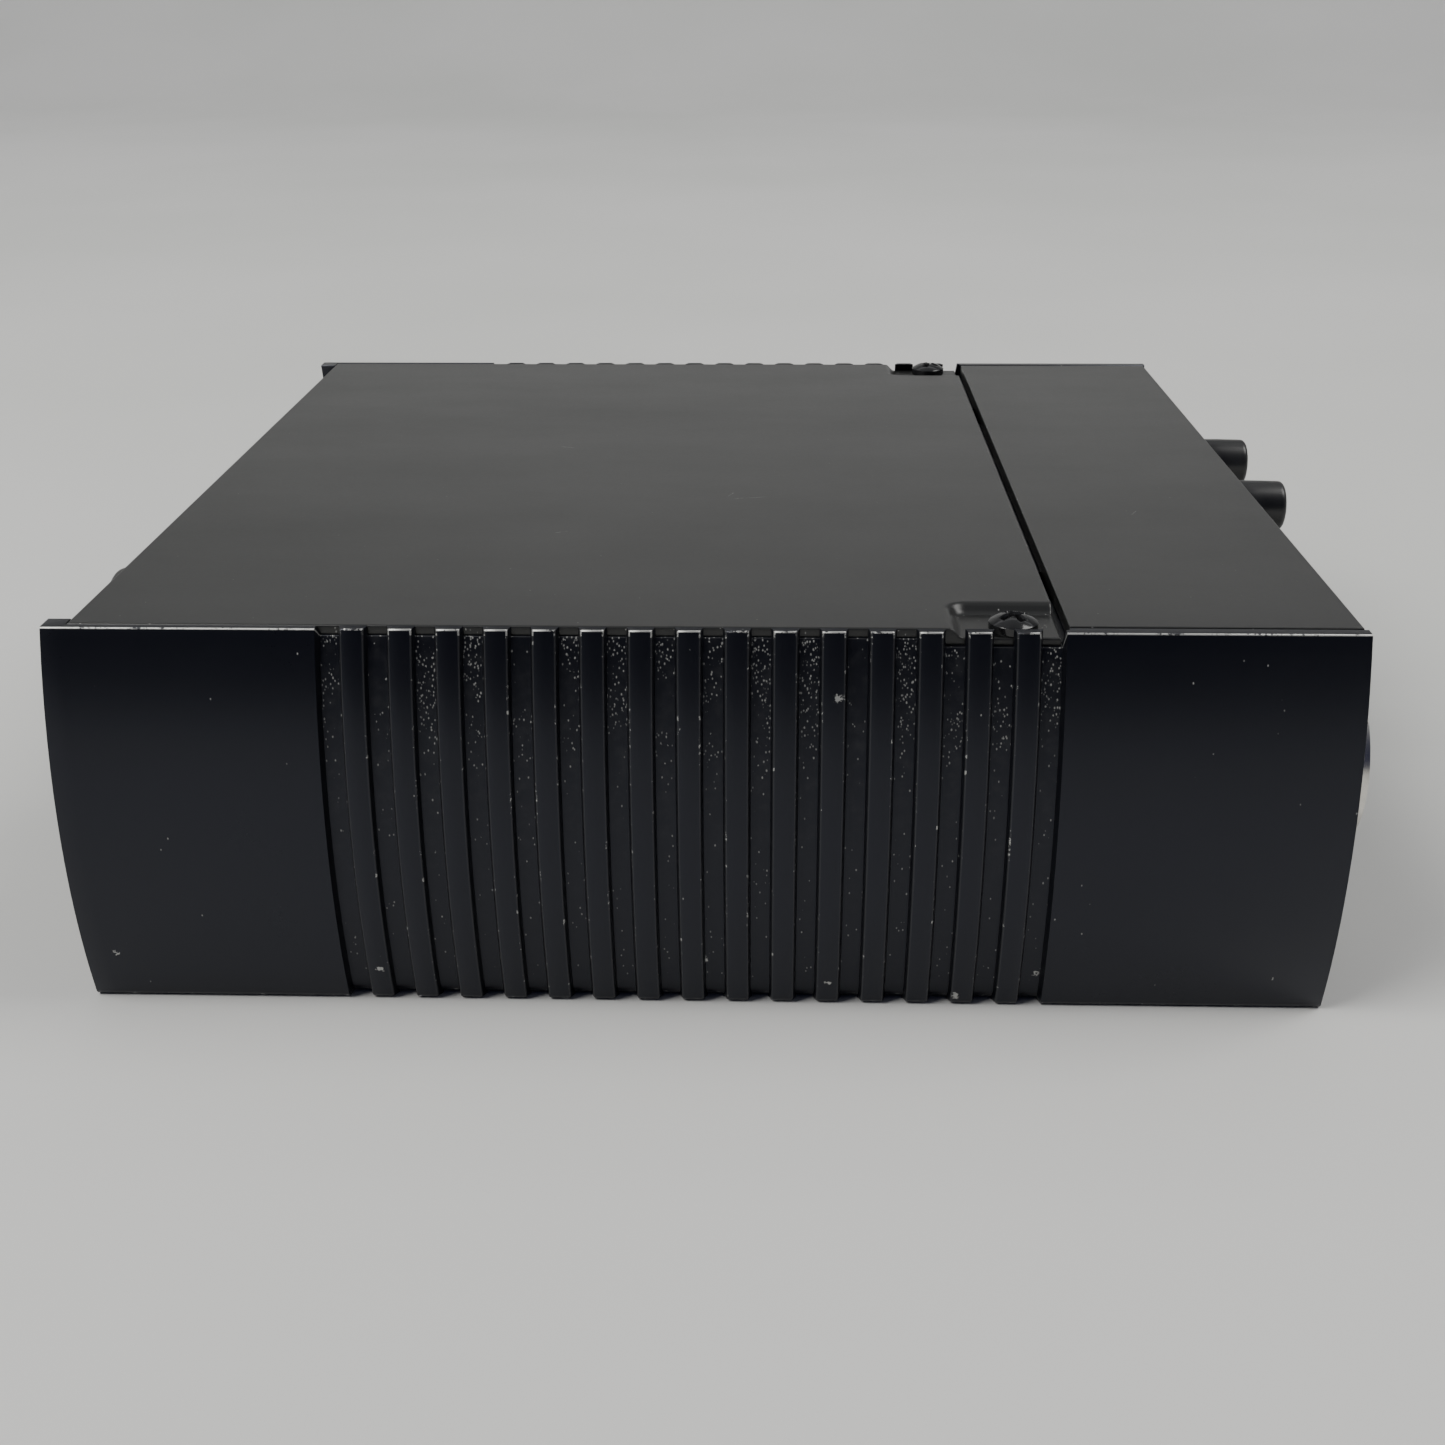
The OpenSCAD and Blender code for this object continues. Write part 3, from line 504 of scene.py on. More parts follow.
def buildInside():
    # wall between board and battery, screw bosses and board posts, each set a little into the shell
    height, sunk = case["height"], 0.4
    verts, faces = [], []

    def addShell(rings):
        ringVerts, ringFaces = loft(rings)
        faces.extend(tuple(i + len(verts) for i in face) for face in ringFaces)
        verts.extend(ringVerts)

    top = height - case["coverThick"]
    inset = case["grooveDepth"] + case["wall"] - sunk
    side = [(sideAtHeight(inset, z), z) for z in [case["floor"] - sunk + (top - case["floor"] + sunk) * i / 16 for i in range(17)]]
    outline = side + [(y + dy, z) for y, width in inside["notches"][::-1]
                      for dy, z in ((width, top), (width, inside["notchZ"]), (0, inside["notchZ"]), (0, top))]
    outline += [(-y, z) for y, z in reversed(side)]
    addShell([[(case["lidX0"] + dx, y, z) for y, z in outline] for dx in (-inside["partitionBack"], inside["partitionFront"])])

    def post(x, y, z0, z1, radius):
        rings = []
        for z in (z0, z1):
            edge = sideAtHeight(case["grooveDepth"] + 0.5, z)
            ring = [(x + radius * math.cos(a), y + radius * math.sin(a)) for a in [2 * math.pi * k / 32 for k in range(32)]]
            rings.append([(px, max(-edge, min(edge, py)), z) for px, py in ring])
        addShell(rings)

    boardLow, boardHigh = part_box("main_board")
    for sign in (-1, 1):
        post(case["coverX1"] - inside["screwFromSeam"], sign * (case["halfTop"] - inside["screwIn"]),
             top - inside["bossTall"], top, inside["bossRadius"])
        for x in (boardLow.x / mm + inside["postInset"] + inside["postStep"], boardHigh.x / mm - inside["postInset"]):
            post(x, sign * (boardHigh.y / mm - inside["postInset"]), case["floor"] - sunk, boardLow.z / mm, inside["postRadius"])
    return shellObject("caseInside", verts, faces)


caseShell = finishPiece(buildCaseShell(), "castPaint", "case", "case_paint", "case_body")
finishPiece(buildInside(), "castPaint", "case", "case_paint")
print("case shell", len(caseShell.data.polygons), "faces")


# ---- cover and lid: plates with rounded rims and sunk screw pockets

def spread(low, high, fine, coarse, centres):
    # stations from low to high, close together at both ends and about the given centres
    stations = {low, high}
    for edge, sign in ((low, 1), (high, -1)):
        for d in (0.03, 0.08, 0.15, 0.24, 0.36, 0.6):
            stations.add(edge + sign * d)
    for middle, reach in centres:
        n = max(1, int(2 * reach / fine))
        for i in range(n + 1):
            stations.add(middle - reach + 2 * reach * i / n)
    n = int((high - low) / coarse)
    for i in range(1, n):
        stations.add(low + (high - low) * i / n)
    kept = []
    for s in sorted(s for s in stations if low <= s <= high):
        if not kept or s - kept[-1] > 0.02:
            kept.append(s)
    kept[-1] = high
    return kept


def plate(name, xs, ys, top, bottom, hollowAt):
    verts, faces, wearAndHighlight, hollow = [], [], [], []
    nx, ny = len(xs), len(ys)
    for surface in (top, bottom):
        verts += [(x, y, surface(x, y)) for x in xs for y in ys]
    def at(layer, i, j):
        return layer * nx * ny + i * ny + j
    for i in range(nx - 1):
        for j in range(ny - 1):
            rim = min(xs[i] - xs[0], xs[-1] - xs[i + 1], ys[j] - ys[0], ys[-1] - ys[j + 1]) < 0.1
            faces.append((at(0, i, j), at(0, i + 1, j), at(0, i + 1, j + 1), at(0, i, j + 1)))
            faces.append((at(1, i, j), at(1, i, j + 1), at(1, i + 1, j + 1), at(1, i + 1, j)))
            wearAndHighlight += [wearAndHighlightLevel["plate"] if rim else 0.0, 0.0]
            hollow += [hollowAt((xs[i] + xs[i + 1]) / 2, (ys[j] + ys[j + 1]) / 2), 0.0]
    for i in range(nx - 1):
        faces.append((at(0, i, 0), at(1, i, 0), at(1, i + 1, 0), at(0, i + 1, 0)))
        faces.append((at(0, i, ny - 1), at(0, i + 1, ny - 1), at(1, i + 1, ny - 1), at(1, i, ny - 1)))
    for j in range(ny - 1):
        faces.append((at(0, 0, j), at(0, 0, j + 1), at(1, 0, j + 1), at(1, 0, j)))
        faces.append((at(0, nx - 1, j), at(1, nx - 1, j), at(1, nx - 1, j + 1), at(0, nx - 1, j + 1)))
    wearAndHighlight += [0.0] * (len(faces) - len(wearAndHighlight))
    hollow += [0.12] * (len(faces) - len(hollow))
    return shellObject(name, verts, faces, wearAndHighlight, hollow, 50)


def rimDrop(distance, radius):
    if distance >= radius:
        return 0.0
    return radius - math.sqrt(max(0.0, radius ** 2 - (radius - distance) ** 2))


def smoothStep(low, high, value):
    t = min(1.0, max(0.0, (value - low) / (high - low)))
    return t * t * (3 - 2 * t)


pocket = {"length": 10.8, "width": 8.8, "depth": 1.0, "soft": 0.68, "corner": 1.6}


def pocketDepth(x, y):
    # rounded box cut in from the cheek and open towards the seam
    dx = (case["coverX1"] - pocket["length"] + pocket["corner"]) - x
    dy = (case["halfTop"] - pocket["width"] + pocket["corner"]) - abs(y)
    outside = math.hypot(max(dx, 0), max(dy, 0)) + min(0.0, max(dx, dy)) - pocket["corner"]
    return pocket["depth"] * (1 - smoothStep(-pocket["soft"], pocket["soft"], outside))


def buildCover():
    x0, x1 = case["coverX0"], case["coverX1"]
    y1 = case["halfTop"] - case["grooveDepth"] - 0.1
    height = case["height"]
    xs = spread(x0, x1, 0.28, 6.0, [(x1 - pocket["length"], 1.9)])
    inner = case["halfTop"] - pocket["width"]
    ys = spread(-y1, y1, 0.28, 6.0, [(inner, 1.9), (-inner, 1.9), (62.35, 0.06), (-62.35, 0.06)])
    def top(x, y):
        rim = min(x - x0, x1 - x, y1 - abs(y))
        return height - pocketDepth(x, y) - rimDrop(rim, 0.22)
    def bottom(x, y):
        thin = abs(y) > 62.35 and x < x1 - pocket["length"] - 1.2
        return height - (case["rimThick"] if thin else case["coverThick"])
    return plate("coverPlate", xs, ys, top, bottom, lambda x, y: 0.12 * smoothStep(0.1, 0.8, pocketDepth(x, y)))


def buildLid():
    x0, x1 = case["lidX0"], lidHigh.x / mm
    y1 = case["lidEdge"] - case["lidGap"]
    tongue = lidHigh.y / mm
    height = case["height"]
    xs, ys = spread(x0, x1, 1, 5.0, []), spread(-y1, y1, 1, 6.0, [])
    def top(x, y):
        return height - rimDrop(min(x - x0, x1 - x, y1 - abs(y)), 0.14)
    lid = plate("lidPlate", xs, ys, top, lambda x, y: height - case["lidThick"], lambda x, y: 0.0)
    builder = bmesh.new()
    builder.from_mesh(lid.data)
    for side in (-1, 1):
        edge = sorted((side * (y1 - 0.3), side * tongue))
        corners = boxVerts((x0, edge[0], height - case["lidThick"] + 0.01), (x1, edge[1], height - case["lidThick"] + 0.7))
        made = [builder.verts.new(Vector(v) * mm) for v in corners]
        for face in boxFaces:
            builder.faces.new([made[i] for i in face])
    bpy.data.objects.remove(lid)
    return closeBuilder("lidPlate", builder, 50)


coverPlate = finishPiece(buildCover(), "coverPaint", "case", "cover_paint", "top_cover")
lidPlate = finishPiece(buildLid(), "lidPaint", "lid", "lid_paint", "battery_lid")
print("cover and lid made")


# ---- geometry nodes: ribs, screws and thread rings

def nodeGroup(name, sockets):
    group = bpy.data.node_groups.new(name, "GeometryNodeTree")
    group.interface.new_socket("Geometry", in_out="INPUT", socket_type="NodeSocketGeometry")
    identifiers = {}
    for title, kind in sockets:
        identifiers[title] = group.interface.new_socket(title, in_out="INPUT", socket_type=kind).identifier
    group.interface.new_socket("Geometry", in_out="OUTPUT", socket_type="NodeSocketGeometry")
    tree = Tree(group)
    entry = tree.add("NodeGroupInput").socket.node
    given = {socket.name: Flow(tree, socket) for socket in entry.outputs if socket.name}
    return group, tree, given, identifiers


def endGroup(tree, geometry, material):
    solid = tree.add("GeometryNodeRealizeInstances", None, {0: geometry})
    painted = tree.add("GeometryNodeSetMaterial", None, {"Geometry": solid, "Material": material})
    exit_ = tree.nodeTree.nodes.new("NodeGroupOutput")
    tree.nodeTree.links.new(painted.socket, exit_.inputs[0])


def runGroup(name, group, identifiers, values, points=None, turns=None, smoothAngle=38):
    mesh = bpy.data.meshes.new(name)
    mesh.from_pydata([Vector(p) * mm for p in (points or [(0, 0, 0)])], [], [])
    if turns:
        layer = mesh.attributes.new("turn", "FLOAT_VECTOR", "POINT")
        for index, turn in enumerate(turns):
            layer.data[index].vector = turn
    thing = bpy.data.objects.new(name, mesh)
    bpy.context.scene.collection.objects.link(thing)
    modifier = thing.modifiers.new("build", "NODES")
    modifier.node_group = group
    for title, value in values.items():
        modifier[identifiers[title]] = value
    graph = bpy.context.evaluated_depsgraph_get()
    result = bpy.data.meshes.new_from_object(thing.evaluated_get(graph), preserve_all_data_layers=True, depsgraph=graph)
    thing.modifiers.clear()
    thing.data = result
    result.name = name
    result.shade_smooth()
    result.set_sharp_from_angle(angle=math.radians(smoothAngle))
    return thing


def ribRowGroup():
    group, tree, given, ids = nodeGroup("ribRow", [
        ("Rib", "NodeSocketObject"), ("Count", "NodeSocketInt"), ("First", "NodeSocketFloat"),
        ("Pitch", "NodeSocketFloat"), ("Material", "NodeSocketMaterial")])
    rib = tree.add("GeometryNodeObjectInfo", {"transform_space": "ORIGINAL"}, {"Object": given["Rib"]}, 4)
    rows = []
    for turn in (0.0, math.pi):
        start = tree.add("ShaderNodeCombineXYZ", None, {"X": given["First"]})
        offset = tree.add("ShaderNodeCombineXYZ", None, {"X": given["Pitch"]})
        line = tree.add("GeometryNodeMeshLine", {"mode": "OFFSET"},
                        {"Count": given["Count"], "Start Location": start, "Offset": offset})
        rows.append(tree.add("GeometryNodeInstanceOnPoints", None,
                             {"Points": line, "Instance": rib, "Rotation": (0.0, 0.0, turn)}))
    joined = tree.nodeTree.nodes.new("GeometryNodeJoinGeometry")
    for row in rows:
        tree.nodeTree.links.new(row.socket, joined.inputs[0])
    endGroup(tree, Flow(tree, joined.outputs[0]), given["Material"])
    return group, ids


def ribBar():
    # one rib of the near cheek, centred on x = 0
    height, chamfer, half = case["height"], ribs["chamfer"], ribs["width"] / 2
    bottom, low = cornerOutline(0.0, case["bottomRound"], 5, -1)
    top, high = cornerOutline(0.0, case["topRound"], 4, 1)
    path = bottom[::-1] + [sidePoint(0.0, low + (high - low) * i / 24) for i in range(1, 24)]
    path += [sidePoint(0.0, high - 0.45 / sideRadius)] + top
    rings = []
    for index, (y, z) in enumerate(path):
        outward = Vector((y - sideCentre, z - height / 2)).normalized()
        clear = case["grooveDepth"] + (0.0 if z > height - 2.2 else ribs["root"])
        inner = (min(y - 0.3, sideAtHeight(clear, min(z, height))), z)
        low_ = (y - chamfer * outward.x, z - chamfer * outward.y)
        base = half + ribs["draft"] * (clear / case["grooveDepth"])
        ring = [(-base, inner), (-half, low_), (-half + 0.3 * chamfer, ((y + 2 * low_[0]) / 3 + 0.25 * chamfer, (z + 2 * low_[1]) / 3)),
                (-half + chamfer, (y, z)), (half - chamfer, (y, z)),
                (half - 0.3 * chamfer, ((y + 2 * low_[0]) / 3 + 0.25 * chamfer, (z + 2 * low_[1]) / 3)), (half, low_), (base, inner)]
        rings.append([(x, -p[0], p[1]) for x, p in ring])
    verts, faces = loft(rings)
    wearAndHighlight = []
    for i in range(len(rings) - 1):
        z = path[i][1]
        for k in range(8):
            top, nearTop, foot = i in range(len(rings) - 5, len(rings) - 2), i == len(rings) - 6, i < 4
            side = k in (1, 2, 4, 5)
            level = "line" if top else ("corner" if nearTop and side else ("low" if foot else ("side" if side else None)))
            wearAndHighlight.append(wearAndHighlightLevel[level] if level and 1 <= k <= 5 else 0.0)
    wearAndHighlight += [0.0, 0.0]
    return shellObject("ribBar", verts, faces, wearAndHighlight, None, 45)


bar = ribBar()
ribGroup, ribIds = ribRowGroup()
gripRibs = runGroup("gripRibs", ribGroup, ribIds, {
    "Rib": bar, "Count": ribs["count"], "Pitch": ribs["pitch"] * mm, "Material": materials["castPaint"],
    "First": (ribs["start"] + ribs["pitch"] - ribs["width"] / 2) * mm})
bpy.data.objects.remove(bar)
finishPiece(gripRibs, "castPaint", "case", "case_paint")
print("ribs", len(gripRibs.data.polygons), "faces")


def scatterGroup():
    group, tree, given, ids = nodeGroup("setOut", [("Part", "NodeSocketObject"), ("Material", "NodeSocketMaterial")])
    part = tree.add("GeometryNodeObjectInfo", {"transform_space": "ORIGINAL"}, {"Object": given["Part"]}, 4)
    turn = tree.add("GeometryNodeInputNamedAttribute", {"data_type": "FLOAT_VECTOR"}, {"Name": "turn"})
    placed = tree.add("GeometryNodeInstanceOnPoints", None,
                      {"Points": given["Geometry"], "Instance": part, "Rotation": turn})
    endGroup(tree, placed, given["Material"])
    return group, ids


def panScrew(radius, shank, length):
    # head up, its seat at z = 0; a cross recess sinks into the dome
    rise, sag = 0.70 * radius, 0.33 * radius
    dome = (radius ** 2 + sag ** 2) / (2 * sag)
    def height(r, angle):
        z = rise - sag + math.sqrt(max(0.0, dome ** 2 - r ** 2)) - (dome - sag)
        a = abs((math.degrees(angle) + 45) % 90 - 45)
        across = r * math.sin(math.radians(a))
        along = r * math.cos(math.radians(a))
        arm = smoothStep(0.19, 0.09, across / radius) * smoothStep(0.66, 0.50, along / radius)
        return z - arm * 0.62 * rise * (1 - 0.45 * along / radius)
    rim = [(0.0, -0.18), (0.05, -0.06), (0.0, 0.0)]
    steps = 96
    circles = [0.06, 0.12, 0.18, 0.24, 0.30, 0.36, 0.42, 0.48, 0.54, 0.60, 0.66, 0.74, 0.82, 0.89, 0.94, 0.97]
    rings = []
    for share in circles:
        r = share * radius
        rings.append([(r * math.cos(2 * math.pi * k / steps), r * math.sin(2 * math.pi * k / steps),
                       height(r, 2 * math.pi * k / steps)) for k in range(steps)])
    edgeZ = height(0.97 * radius, 0.4)
    for r, z in ((radius, edgeZ - 0.03 * radius), (radius, 0.08 * radius), (0.96 * radius, 0.0), (shank, 0.0), (shank, -length)):
        rings.append([(r * math.cos(2 * math.pi * k / steps), r * math.sin(2 * math.pi * k / steps), z) for k in range(steps)])
    verts, faces = loft(rings)
    return shellObject("screwSource", verts, faces, None, None, 40)


def placeScrews(name, node, material, slotName, places, turns, source):
    thing = runGroup(name, scatterTree, scatterIds, {"Part": source, "Material": materials[material]}, places, turns)
    return finishPiece(thing, material, "case", slotName, node)


scatterTree, scatterIds = scatterGroup()
screwLow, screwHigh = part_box("cover_screws")
screwX = (screwLow.x + screwHigh.x) / 2 / mm
screwY = screwHigh.y / mm - 2.6
pocketFloor = case["height"] - pocket["depth"]
headSource = panScrew(2.6, 1.48, 5)
placeScrews("coverScrews", "cover_screws", "blackOxide", "screw_black",
            [(screwX, -screwY, pocketFloor), (screwX, screwY, pocketFloor)], [(0, 0, 0.55), (0, 0, 1.2)], headSource)
outLow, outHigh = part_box("xlr_screws")
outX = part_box("output_panel")[1].x / mm
outPlaces = [(outX, outLow.y / mm + 2.6, outHigh.z / mm - 2.6), (outX, outHigh.y / mm - 2.6, outLow.z / mm + 2.6)]
placeScrews("panelScrews", "xlr_screws", "blackOxide", "screw_black", outPlaces,
            [(0.3, math.pi / 2, 0), (1.1, math.pi / 2, 0)], headSource)
boardLow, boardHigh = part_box("board_screws")
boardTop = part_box("main_board")[1].z / mm
boardPlaces = [(x / mm - s * 2.6, y / mm - t * 2.6, boardTop) for x, s in ((boardLow.x, -1), (boardHigh.x, 1))
               for y, t in ((boardLow.y, -1), (boardHigh.y, 1))]
placeScrews("boardScrews", "board_screws", "brushedSteel", "steel", boardPlaces, [(0, 0, 0.4 * i) for i in range(4)], headSource)
bpy.data.objects.remove(headSource)
print("screws placed")


def threadGroup():
    # rings of a rounded ridge, one behind the other along X
    group, tree, given, ids = nodeGroup("threadRings", [
        ("Count", "NodeSocketInt"), ("Pitch", "NodeSocketFloat"), ("Radius", "NodeSocketFloat"),
        ("Ridge", "NodeSocketFloat"), ("Material", "NodeSocketMaterial")])
    hoop = tree.add("GeometryNodeCurvePrimitiveCircle", {"mode": "RADIUS"}, {"Resolution": 64, "Radius": given["Radius"]})
    bead = tree.add("GeometryNodeCurvePrimitiveCircle", {"mode": "RADIUS"}, {"Resolution": 8, "Radius": given["Ridge"]})
    ring = tree.add("GeometryNodeCurveToMesh", None, {0: hoop, 1: bead})
    offset = tree.add("ShaderNodeCombineXYZ", None, {"X": given["Pitch"]})
    line = tree.add("GeometryNodeMeshLine", {"mode": "OFFSET"}, {"Count": given["Count"], "Offset": offset})
    row = tree.add("GeometryNodeInstanceOnPoints", None,
                   {"Points": line, "Instance": ring, "Rotation": (0.0, math.pi / 2, 0.0)})
    placed = tree.add("GeometryNodeInstanceOnPoints", None, {"Points": given["Geometry"], "Instance": row})
    endGroup(tree, placed, given["Material"])
    return group, ids


threadTree, threadIds = threadGroup()
nutLow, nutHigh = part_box("jack_nuts")
bushLow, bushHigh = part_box("jack_bushes")
jackZ = (bushLow.z + bushHigh.z) / 2 / mm
jackYs = [bushLow.y / mm + 5.2, bushHigh.y / mm - 5.2]
jackThreads = runGroup("jackThreads", threadTree, threadIds, {
    "Count": 3, "Pitch": 0.5 * mm, "Radius": 4.72 * mm, "Ridge": 0.2 * mm, "Material": materials["nickelPlate"]},
    [(bushLow.x / mm + 0.35, y, jackZ) for y in jackYs])
finishPiece(jackThreads, "nickelPlate", "case", "nickel")


# ---- knob and buttons, turned about their own axes

def arcProfile(x, r, radius, steps, toward):
    # quarter round between a flat end at x and a side at radius r
    return [(x + toward * radius * (1 - math.sin(math.pi / 2 * i / steps)), r - radius * (1 - math.cos(math.pi / 2 * i / steps)))
            for i in range(steps + 1)]


def buildKnob():
    low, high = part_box("level_knob")
    x0, x1 = low.x / mm, high.x / mm
    y, z = (low.y + high.y) / 2 / mm, (low.z + high.z) / 2 / mm
    radius = (high.y - low.y) / 2 / mm
    profile = [(x0 + 0.25, 0.0), (x0 + 0.25, radius - 2.0), (x0 + 0.05, radius - 1.6), (x0, radius - 1.2)]
    profile += [(x0 + 1.1 * (1 - math.cos(math.pi / 2 * i / 6)), radius - 1.1 + 1.1 * math.sin(math.pi / 2 * i / 6)) for i in range(1, 7)]
    profile += [(x0 + 1.8, radius), (x0 + 3.2, radius), (x1 - 2.2, radius), (x1 - 1.9, radius), (x1 - 1.6, radius),
                (x1 - 0.15, radius), (x1, radius - 0.15), (x1, radius - 0.8), (x1 - 2.1, radius - 0.9), (x1 - 2.2, 0.0)]
    def flutes(angle, x):
        depth = 0.42 * smoothStep(x0 + 0.9, x0 + 1.9, x) * smoothStep(x1 - 1.7, x1 - 2.1, x)
        return depth * smoothStep(0.55, 0.95, math.cos(18 * angle))
    return lathe("levelKnob", profile, (y, z), 216, flutes, 50), (x0, y, z, radius)


knob, (knobX, knobY, knobZ, knobR) = buildKnob()
finishPiece(knob, "knobPlastic", "knob", "knob_grey", "level_knob")
pointer = shellObject("knobPointer", boxVerts((knobX + 0.02, knobY - 0.35, knobZ + 1.6), (knobX + 0.4, knobY + 0.35, knobZ + knobR - 1.1)), boxFaces)
finishPiece(pointer, "markWhite", "knob", "header_white")


def buildButton(name, node):
    low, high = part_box(node)
    x1 = high.x / mm
    y, z = (low.y + high.y) / 2 / mm, (low.z + high.z) / 2 / mm
    radius = (high.y - low.y) / 2 / mm
    back = x1 - 11.0
    profile = [(back, 0.0), (back, radius - 0.2), (back + 0.2, radius), (x1 - 4, radius - 0.03), (x1 - 0.9, radius - 0.1)]
    profile += [(x1 - 0.8 + 0.7 * math.sin(math.pi / 2 * i / 7), radius - 0.1 - 0.7 * (1 - math.cos(math.pi / 2 * i / 7))) for i in range(1, 8)]
    profile += [(x1 - 0.02, radius - 1.4), (x1, radius - 2.2), (x1, 0.0)]
    button = lathe(name, profile, (y, z), 72, None, 50)
    builder = bmesh.new()
    builder.from_mesh(button.data)
    stem = [builder.verts.new(Vector(v) * mm) for v in boxVerts((low.x / mm, y - 1.5, z - 1.5), (back + 0.1, y + 1.5, z + 1.5))]
    for face in boxFaces:
        builder.faces.new([stem[i] for i in face])
    bpy.data.objects.remove(button)
    return closeBuilder(name, builder, 50)


finishPiece(buildButton("liftButton", "lift_button"), "buttonPlastic", "lift_push", "button_black", "lift_button")
finishPiece(buildButton("padButton", "pad_button"), "buttonPlastic", "pad_push", "button_black", "pad_button")
print("knob and buttons made")


def buildLamp():
    # domed lens through the panel, and two leads down to the board, which make the node's box deeper below
    low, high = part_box("status_led")
    x0, x1 = low.x / mm, high.x / mm
    radius = (high.y - low.y) / 2 / mm
    y, z = (low.y + high.y) / 2 / mm, high.z / mm - radius
    profile = [(x0 + radius * (1 - math.cos(math.pi / 2 * i / 14)), radius * math.sin(math.pi / 2 * i / 14)) for i in range(15)]
    profile += [(x1 - 0.3, radius), (x1, radius - 0.3), (x1, 0.0)]
    lens = lathe("statusLamp", profile, (y, z), 64)
    builder = bmesh.new()
    builder.from_mesh(lens.data)
    for side in (-1, 1):
        middle = y + 1.3 * side
        corners = boxVerts((x1 - 1.0, middle - 0.25, low.z / mm), (x1 - 0.5, middle + 0.25, z))
        made = [builder.verts.new(Vector(v) * mm) for v in corners]
        for face in boxFaces:
            builder.faces.new([made[i] for i in face])
    bpy.data.objects.remove(lens)
    return closeBuilder("statusLamp", builder)


finishPiece(buildLamp(), "lampRed", "case", "led_red", "status_led")


# ---- parts whose CAD shape is right: a copy with softened edges, or the node itself

softened = {
    "input_panel": ("inputPanel", "panelPaint", 0.25), "output_panel": ("outputPanel", "panelPaint", 0.25),
    "jack_nuts": ("jackNuts", "nickelPlate", 0.22), "jack_washers": ("jackWashers", "nickelPlate", 0.12),
    "jack_bushes": ("jackBushes", "nickelPlate", 0.15), "xlr_shell": ("outputShell", "nickelPlate", 0.35),
    "xlr_insert": ("outputInsert", "socketPlastic", 0.15), "xlr_pins": ("outputPins", "silverPin", 0.1),
    "switch_bodies": ("switchBodies", "socketPlastic", 0.2), "battery": ("batteryCell", "cellJacket", 0.9),
    "battery_snap": ("batterySnap", "snapVinyl", 0.4), "battery_terminals": ("batteryStuds", "nickelPlate", 0.25),
    "board_headers": ("boardHeaders", "nylonWhite", 0.25), "jack_bodies": ("jackBodies", "socketPlastic", 0.4),
    "signal_chips": ("signalChips", "chipEpoxy", 0.08), "transformer_core": ("transformerCore", "coreSteel", 0.25),
    "transformer_coil": ("transformerCoil", "coilTape", 0.6), "filter_capacitors": ("filterCapacitors", "capSleeve", 0.45),
}
asBuilt = {
    "jack_contacts": "springBrass", "pot_body": "brushedSteel", "pot_bush": "nickelPlate", "pot_nut": "nickelPlate",
    "pot_shaft": "brushedSteel", "main_board": "solderMask", "resistors": "resistorLacquer",
    "battery_leads": "leadRed", "output_leads": "leadWhite", "foam_pad": "padFoam",
}
slotOf = {part["node"]: part["material_slot"] for part in frame["record"]["subparts"]}
for node, (name, material, width) in softened.items():
    finishPiece(bevelledCopy(node, name, width), material, "case", slotOf[node], node)
for node, material in asBuilt.items():
    mesh = cadNodes[node].data
    mesh.materials.clear()
    mesh.materials.append(materials[material])
print("softened", len(softened), "as built", len(asBuilt))


# ---- stage, light and camera

def stageMaterial():
    material, tree = newMaterial("stagePaper")
    where = tree.add("ShaderNodeTexCoord", None, None, 3)
    cloud = tree.noise(where, 3.0, 3.0)
    colour = tree.mixColour(cloud.rise(0.3, 0.7), rgb(0.655, 0.66, 0.635), rgb(0.72, 0.715, 0.70))
    closeMaterial(tree, {"Base Color": colour, "Roughness": 0.75}, (tree.noise(where, 1500, 2.0), 0.05, 0.0001))
    return material


def buildStage():
    reach, depth, bend, wall, drop = 7.0, 1.1, 0.5, 2.2, -0.00003
    path = [(-7.0, drop)] + [(depth + bend * math.sin(a * math.pi / 24), drop + bend * (1 - math.cos(a * math.pi / 24))) for a in range(13)]
    path += [(depth + bend, wall)]
    verts = [(x, y, z) for y, z in path for x in (-reach, reach)]
    faces = [(2 * i, 2 * i + 1, 2 * i + 3, 2 * i + 2) for i in range(len(path) - 1)]
    mesh = bpy.data.meshes.new("stageSweep")
    mesh.from_pydata(verts, [], faces)
    mesh.shade_smooth()
    mesh.materials.append(stageMaterial())
    sweep = bpy.data.objects.new("stageSweep", mesh)
    bpy.context.scene.collection.objects.link(sweep)


def areaLight(name, place, aim, size, power, colour):
    data = bpy.data.lights.new(name, "AREA")
    data.shape, data.size, data.size_y = "RECTANGLE", size[0], size[1]
    data.energy, data.color = power, colour
    lamp = bpy.data.objects.new(name, data)
    lamp.location = place
    lamp.rotation_euler = (Vector(aim) - Vector(place)).to_track_quat("-Z", "Y").to_euler()
    bpy.context.scene.collection.objects.link(lamp)


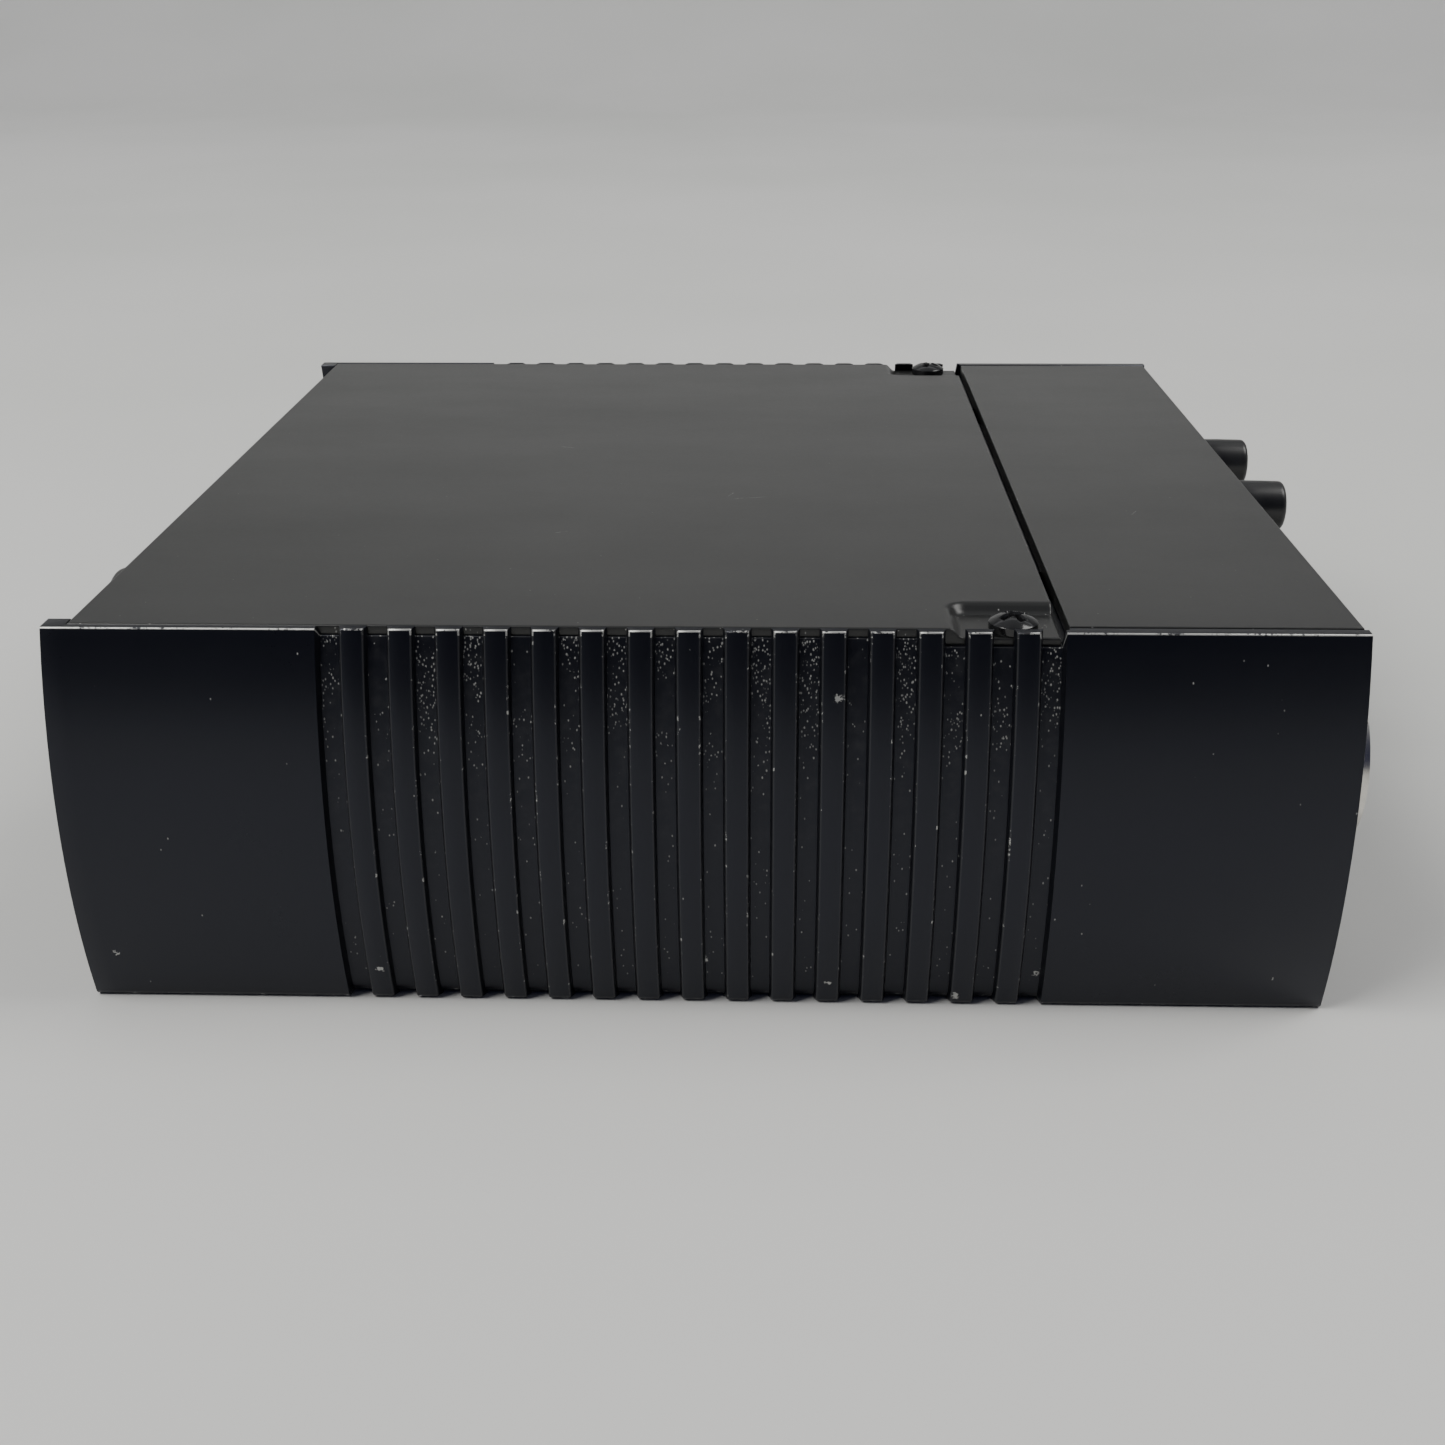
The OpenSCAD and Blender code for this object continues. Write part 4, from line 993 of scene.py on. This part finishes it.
def buildWorld():
    world = bpy.data.worlds.new("studio")
    world.use_nodes = True
    bpy.context.scene.world = world
    world.node_tree.nodes.clear()
    tree = Tree(world.node_tree)
    # a dark room behind the camera, a pale one to the sides and behind the stage
    toward = tree.add("ShaderNodeTexCoord", None, None, 0)
    side, depth, up = tree.split(toward)
    pale = (depth + side.math("ABSOLUTE") * 0.6 - side * 0.15 + up * 0.25).rise(-0.6, 0.75)
    sky = tree.add("ShaderNodeBackground", None, {
        "Color": tree.mixColour(pale, rgb(0.012, 0.015, 0.05), rgb(0.42, 0.43, 0.44)), "Strength": 1.0})
    seen = tree.add("ShaderNodeLightPath")
    plain = tree.add("ShaderNodeBackground", None, {"Color": rgb(0.40, 0.41, 0.42), "Strength": 1.0})
    sky = tree.add("ShaderNodeMixShader", None, {0: seen, 1: sky, 2: plain})
    output = world.node_tree.nodes.new("ShaderNodeOutputWorld")
    world.node_tree.links.new(sky.socket, output.inputs["Surface"])


lights = [
    ("leftLamp", (-0.85, -0.50, 1.20), (0.0, -0.10, 0.0), (0.8, 0.8), 18.0, (1.0, 0.995, 0.965)),
    ("rightLamp", (0.90, 0.05, 1.20), (0.0, 0.0, 0.0), (0.7, 0.7), 9.0, (1.0, 0.99, 0.96)),
    ("backWash", (0.0, 0.75, 1.10), (0.0, 1.6, 0.10), (2.2, 0.6), 3.4, (0.99, 0.99, 1.0)),
]
view = {"place": (0.00797, -0.2428, 0.10998), "down": 23.09, "left": 1.81, "roll": 0.29, "lens": 45.82, "sensor": 36.0}


def buildCamera():
    data = bpy.data.cameras.new("camera")
    data.lens, data.sensor_width, data.clip_start = view["lens"], view["sensor"], 0.005
    camera = bpy.data.objects.new("camera", data)
    turn = Matrix.Rotation(math.radians(view["left"]), 4, "Z") @ Matrix.Rotation(math.radians(90 - view["down"]), 4, "X")
    camera.matrix_world = Matrix.Translation(view["place"]) @ turn @ Matrix.Rotation(math.radians(-view["roll"]), 4, "Z")
    bpy.context.scene.collection.objects.link(camera)
    bpy.context.scene.camera = camera


buildStage()
for light in lights:
    areaLight(*light)
buildWorld()
buildCamera()
print("stage, light and camera set")
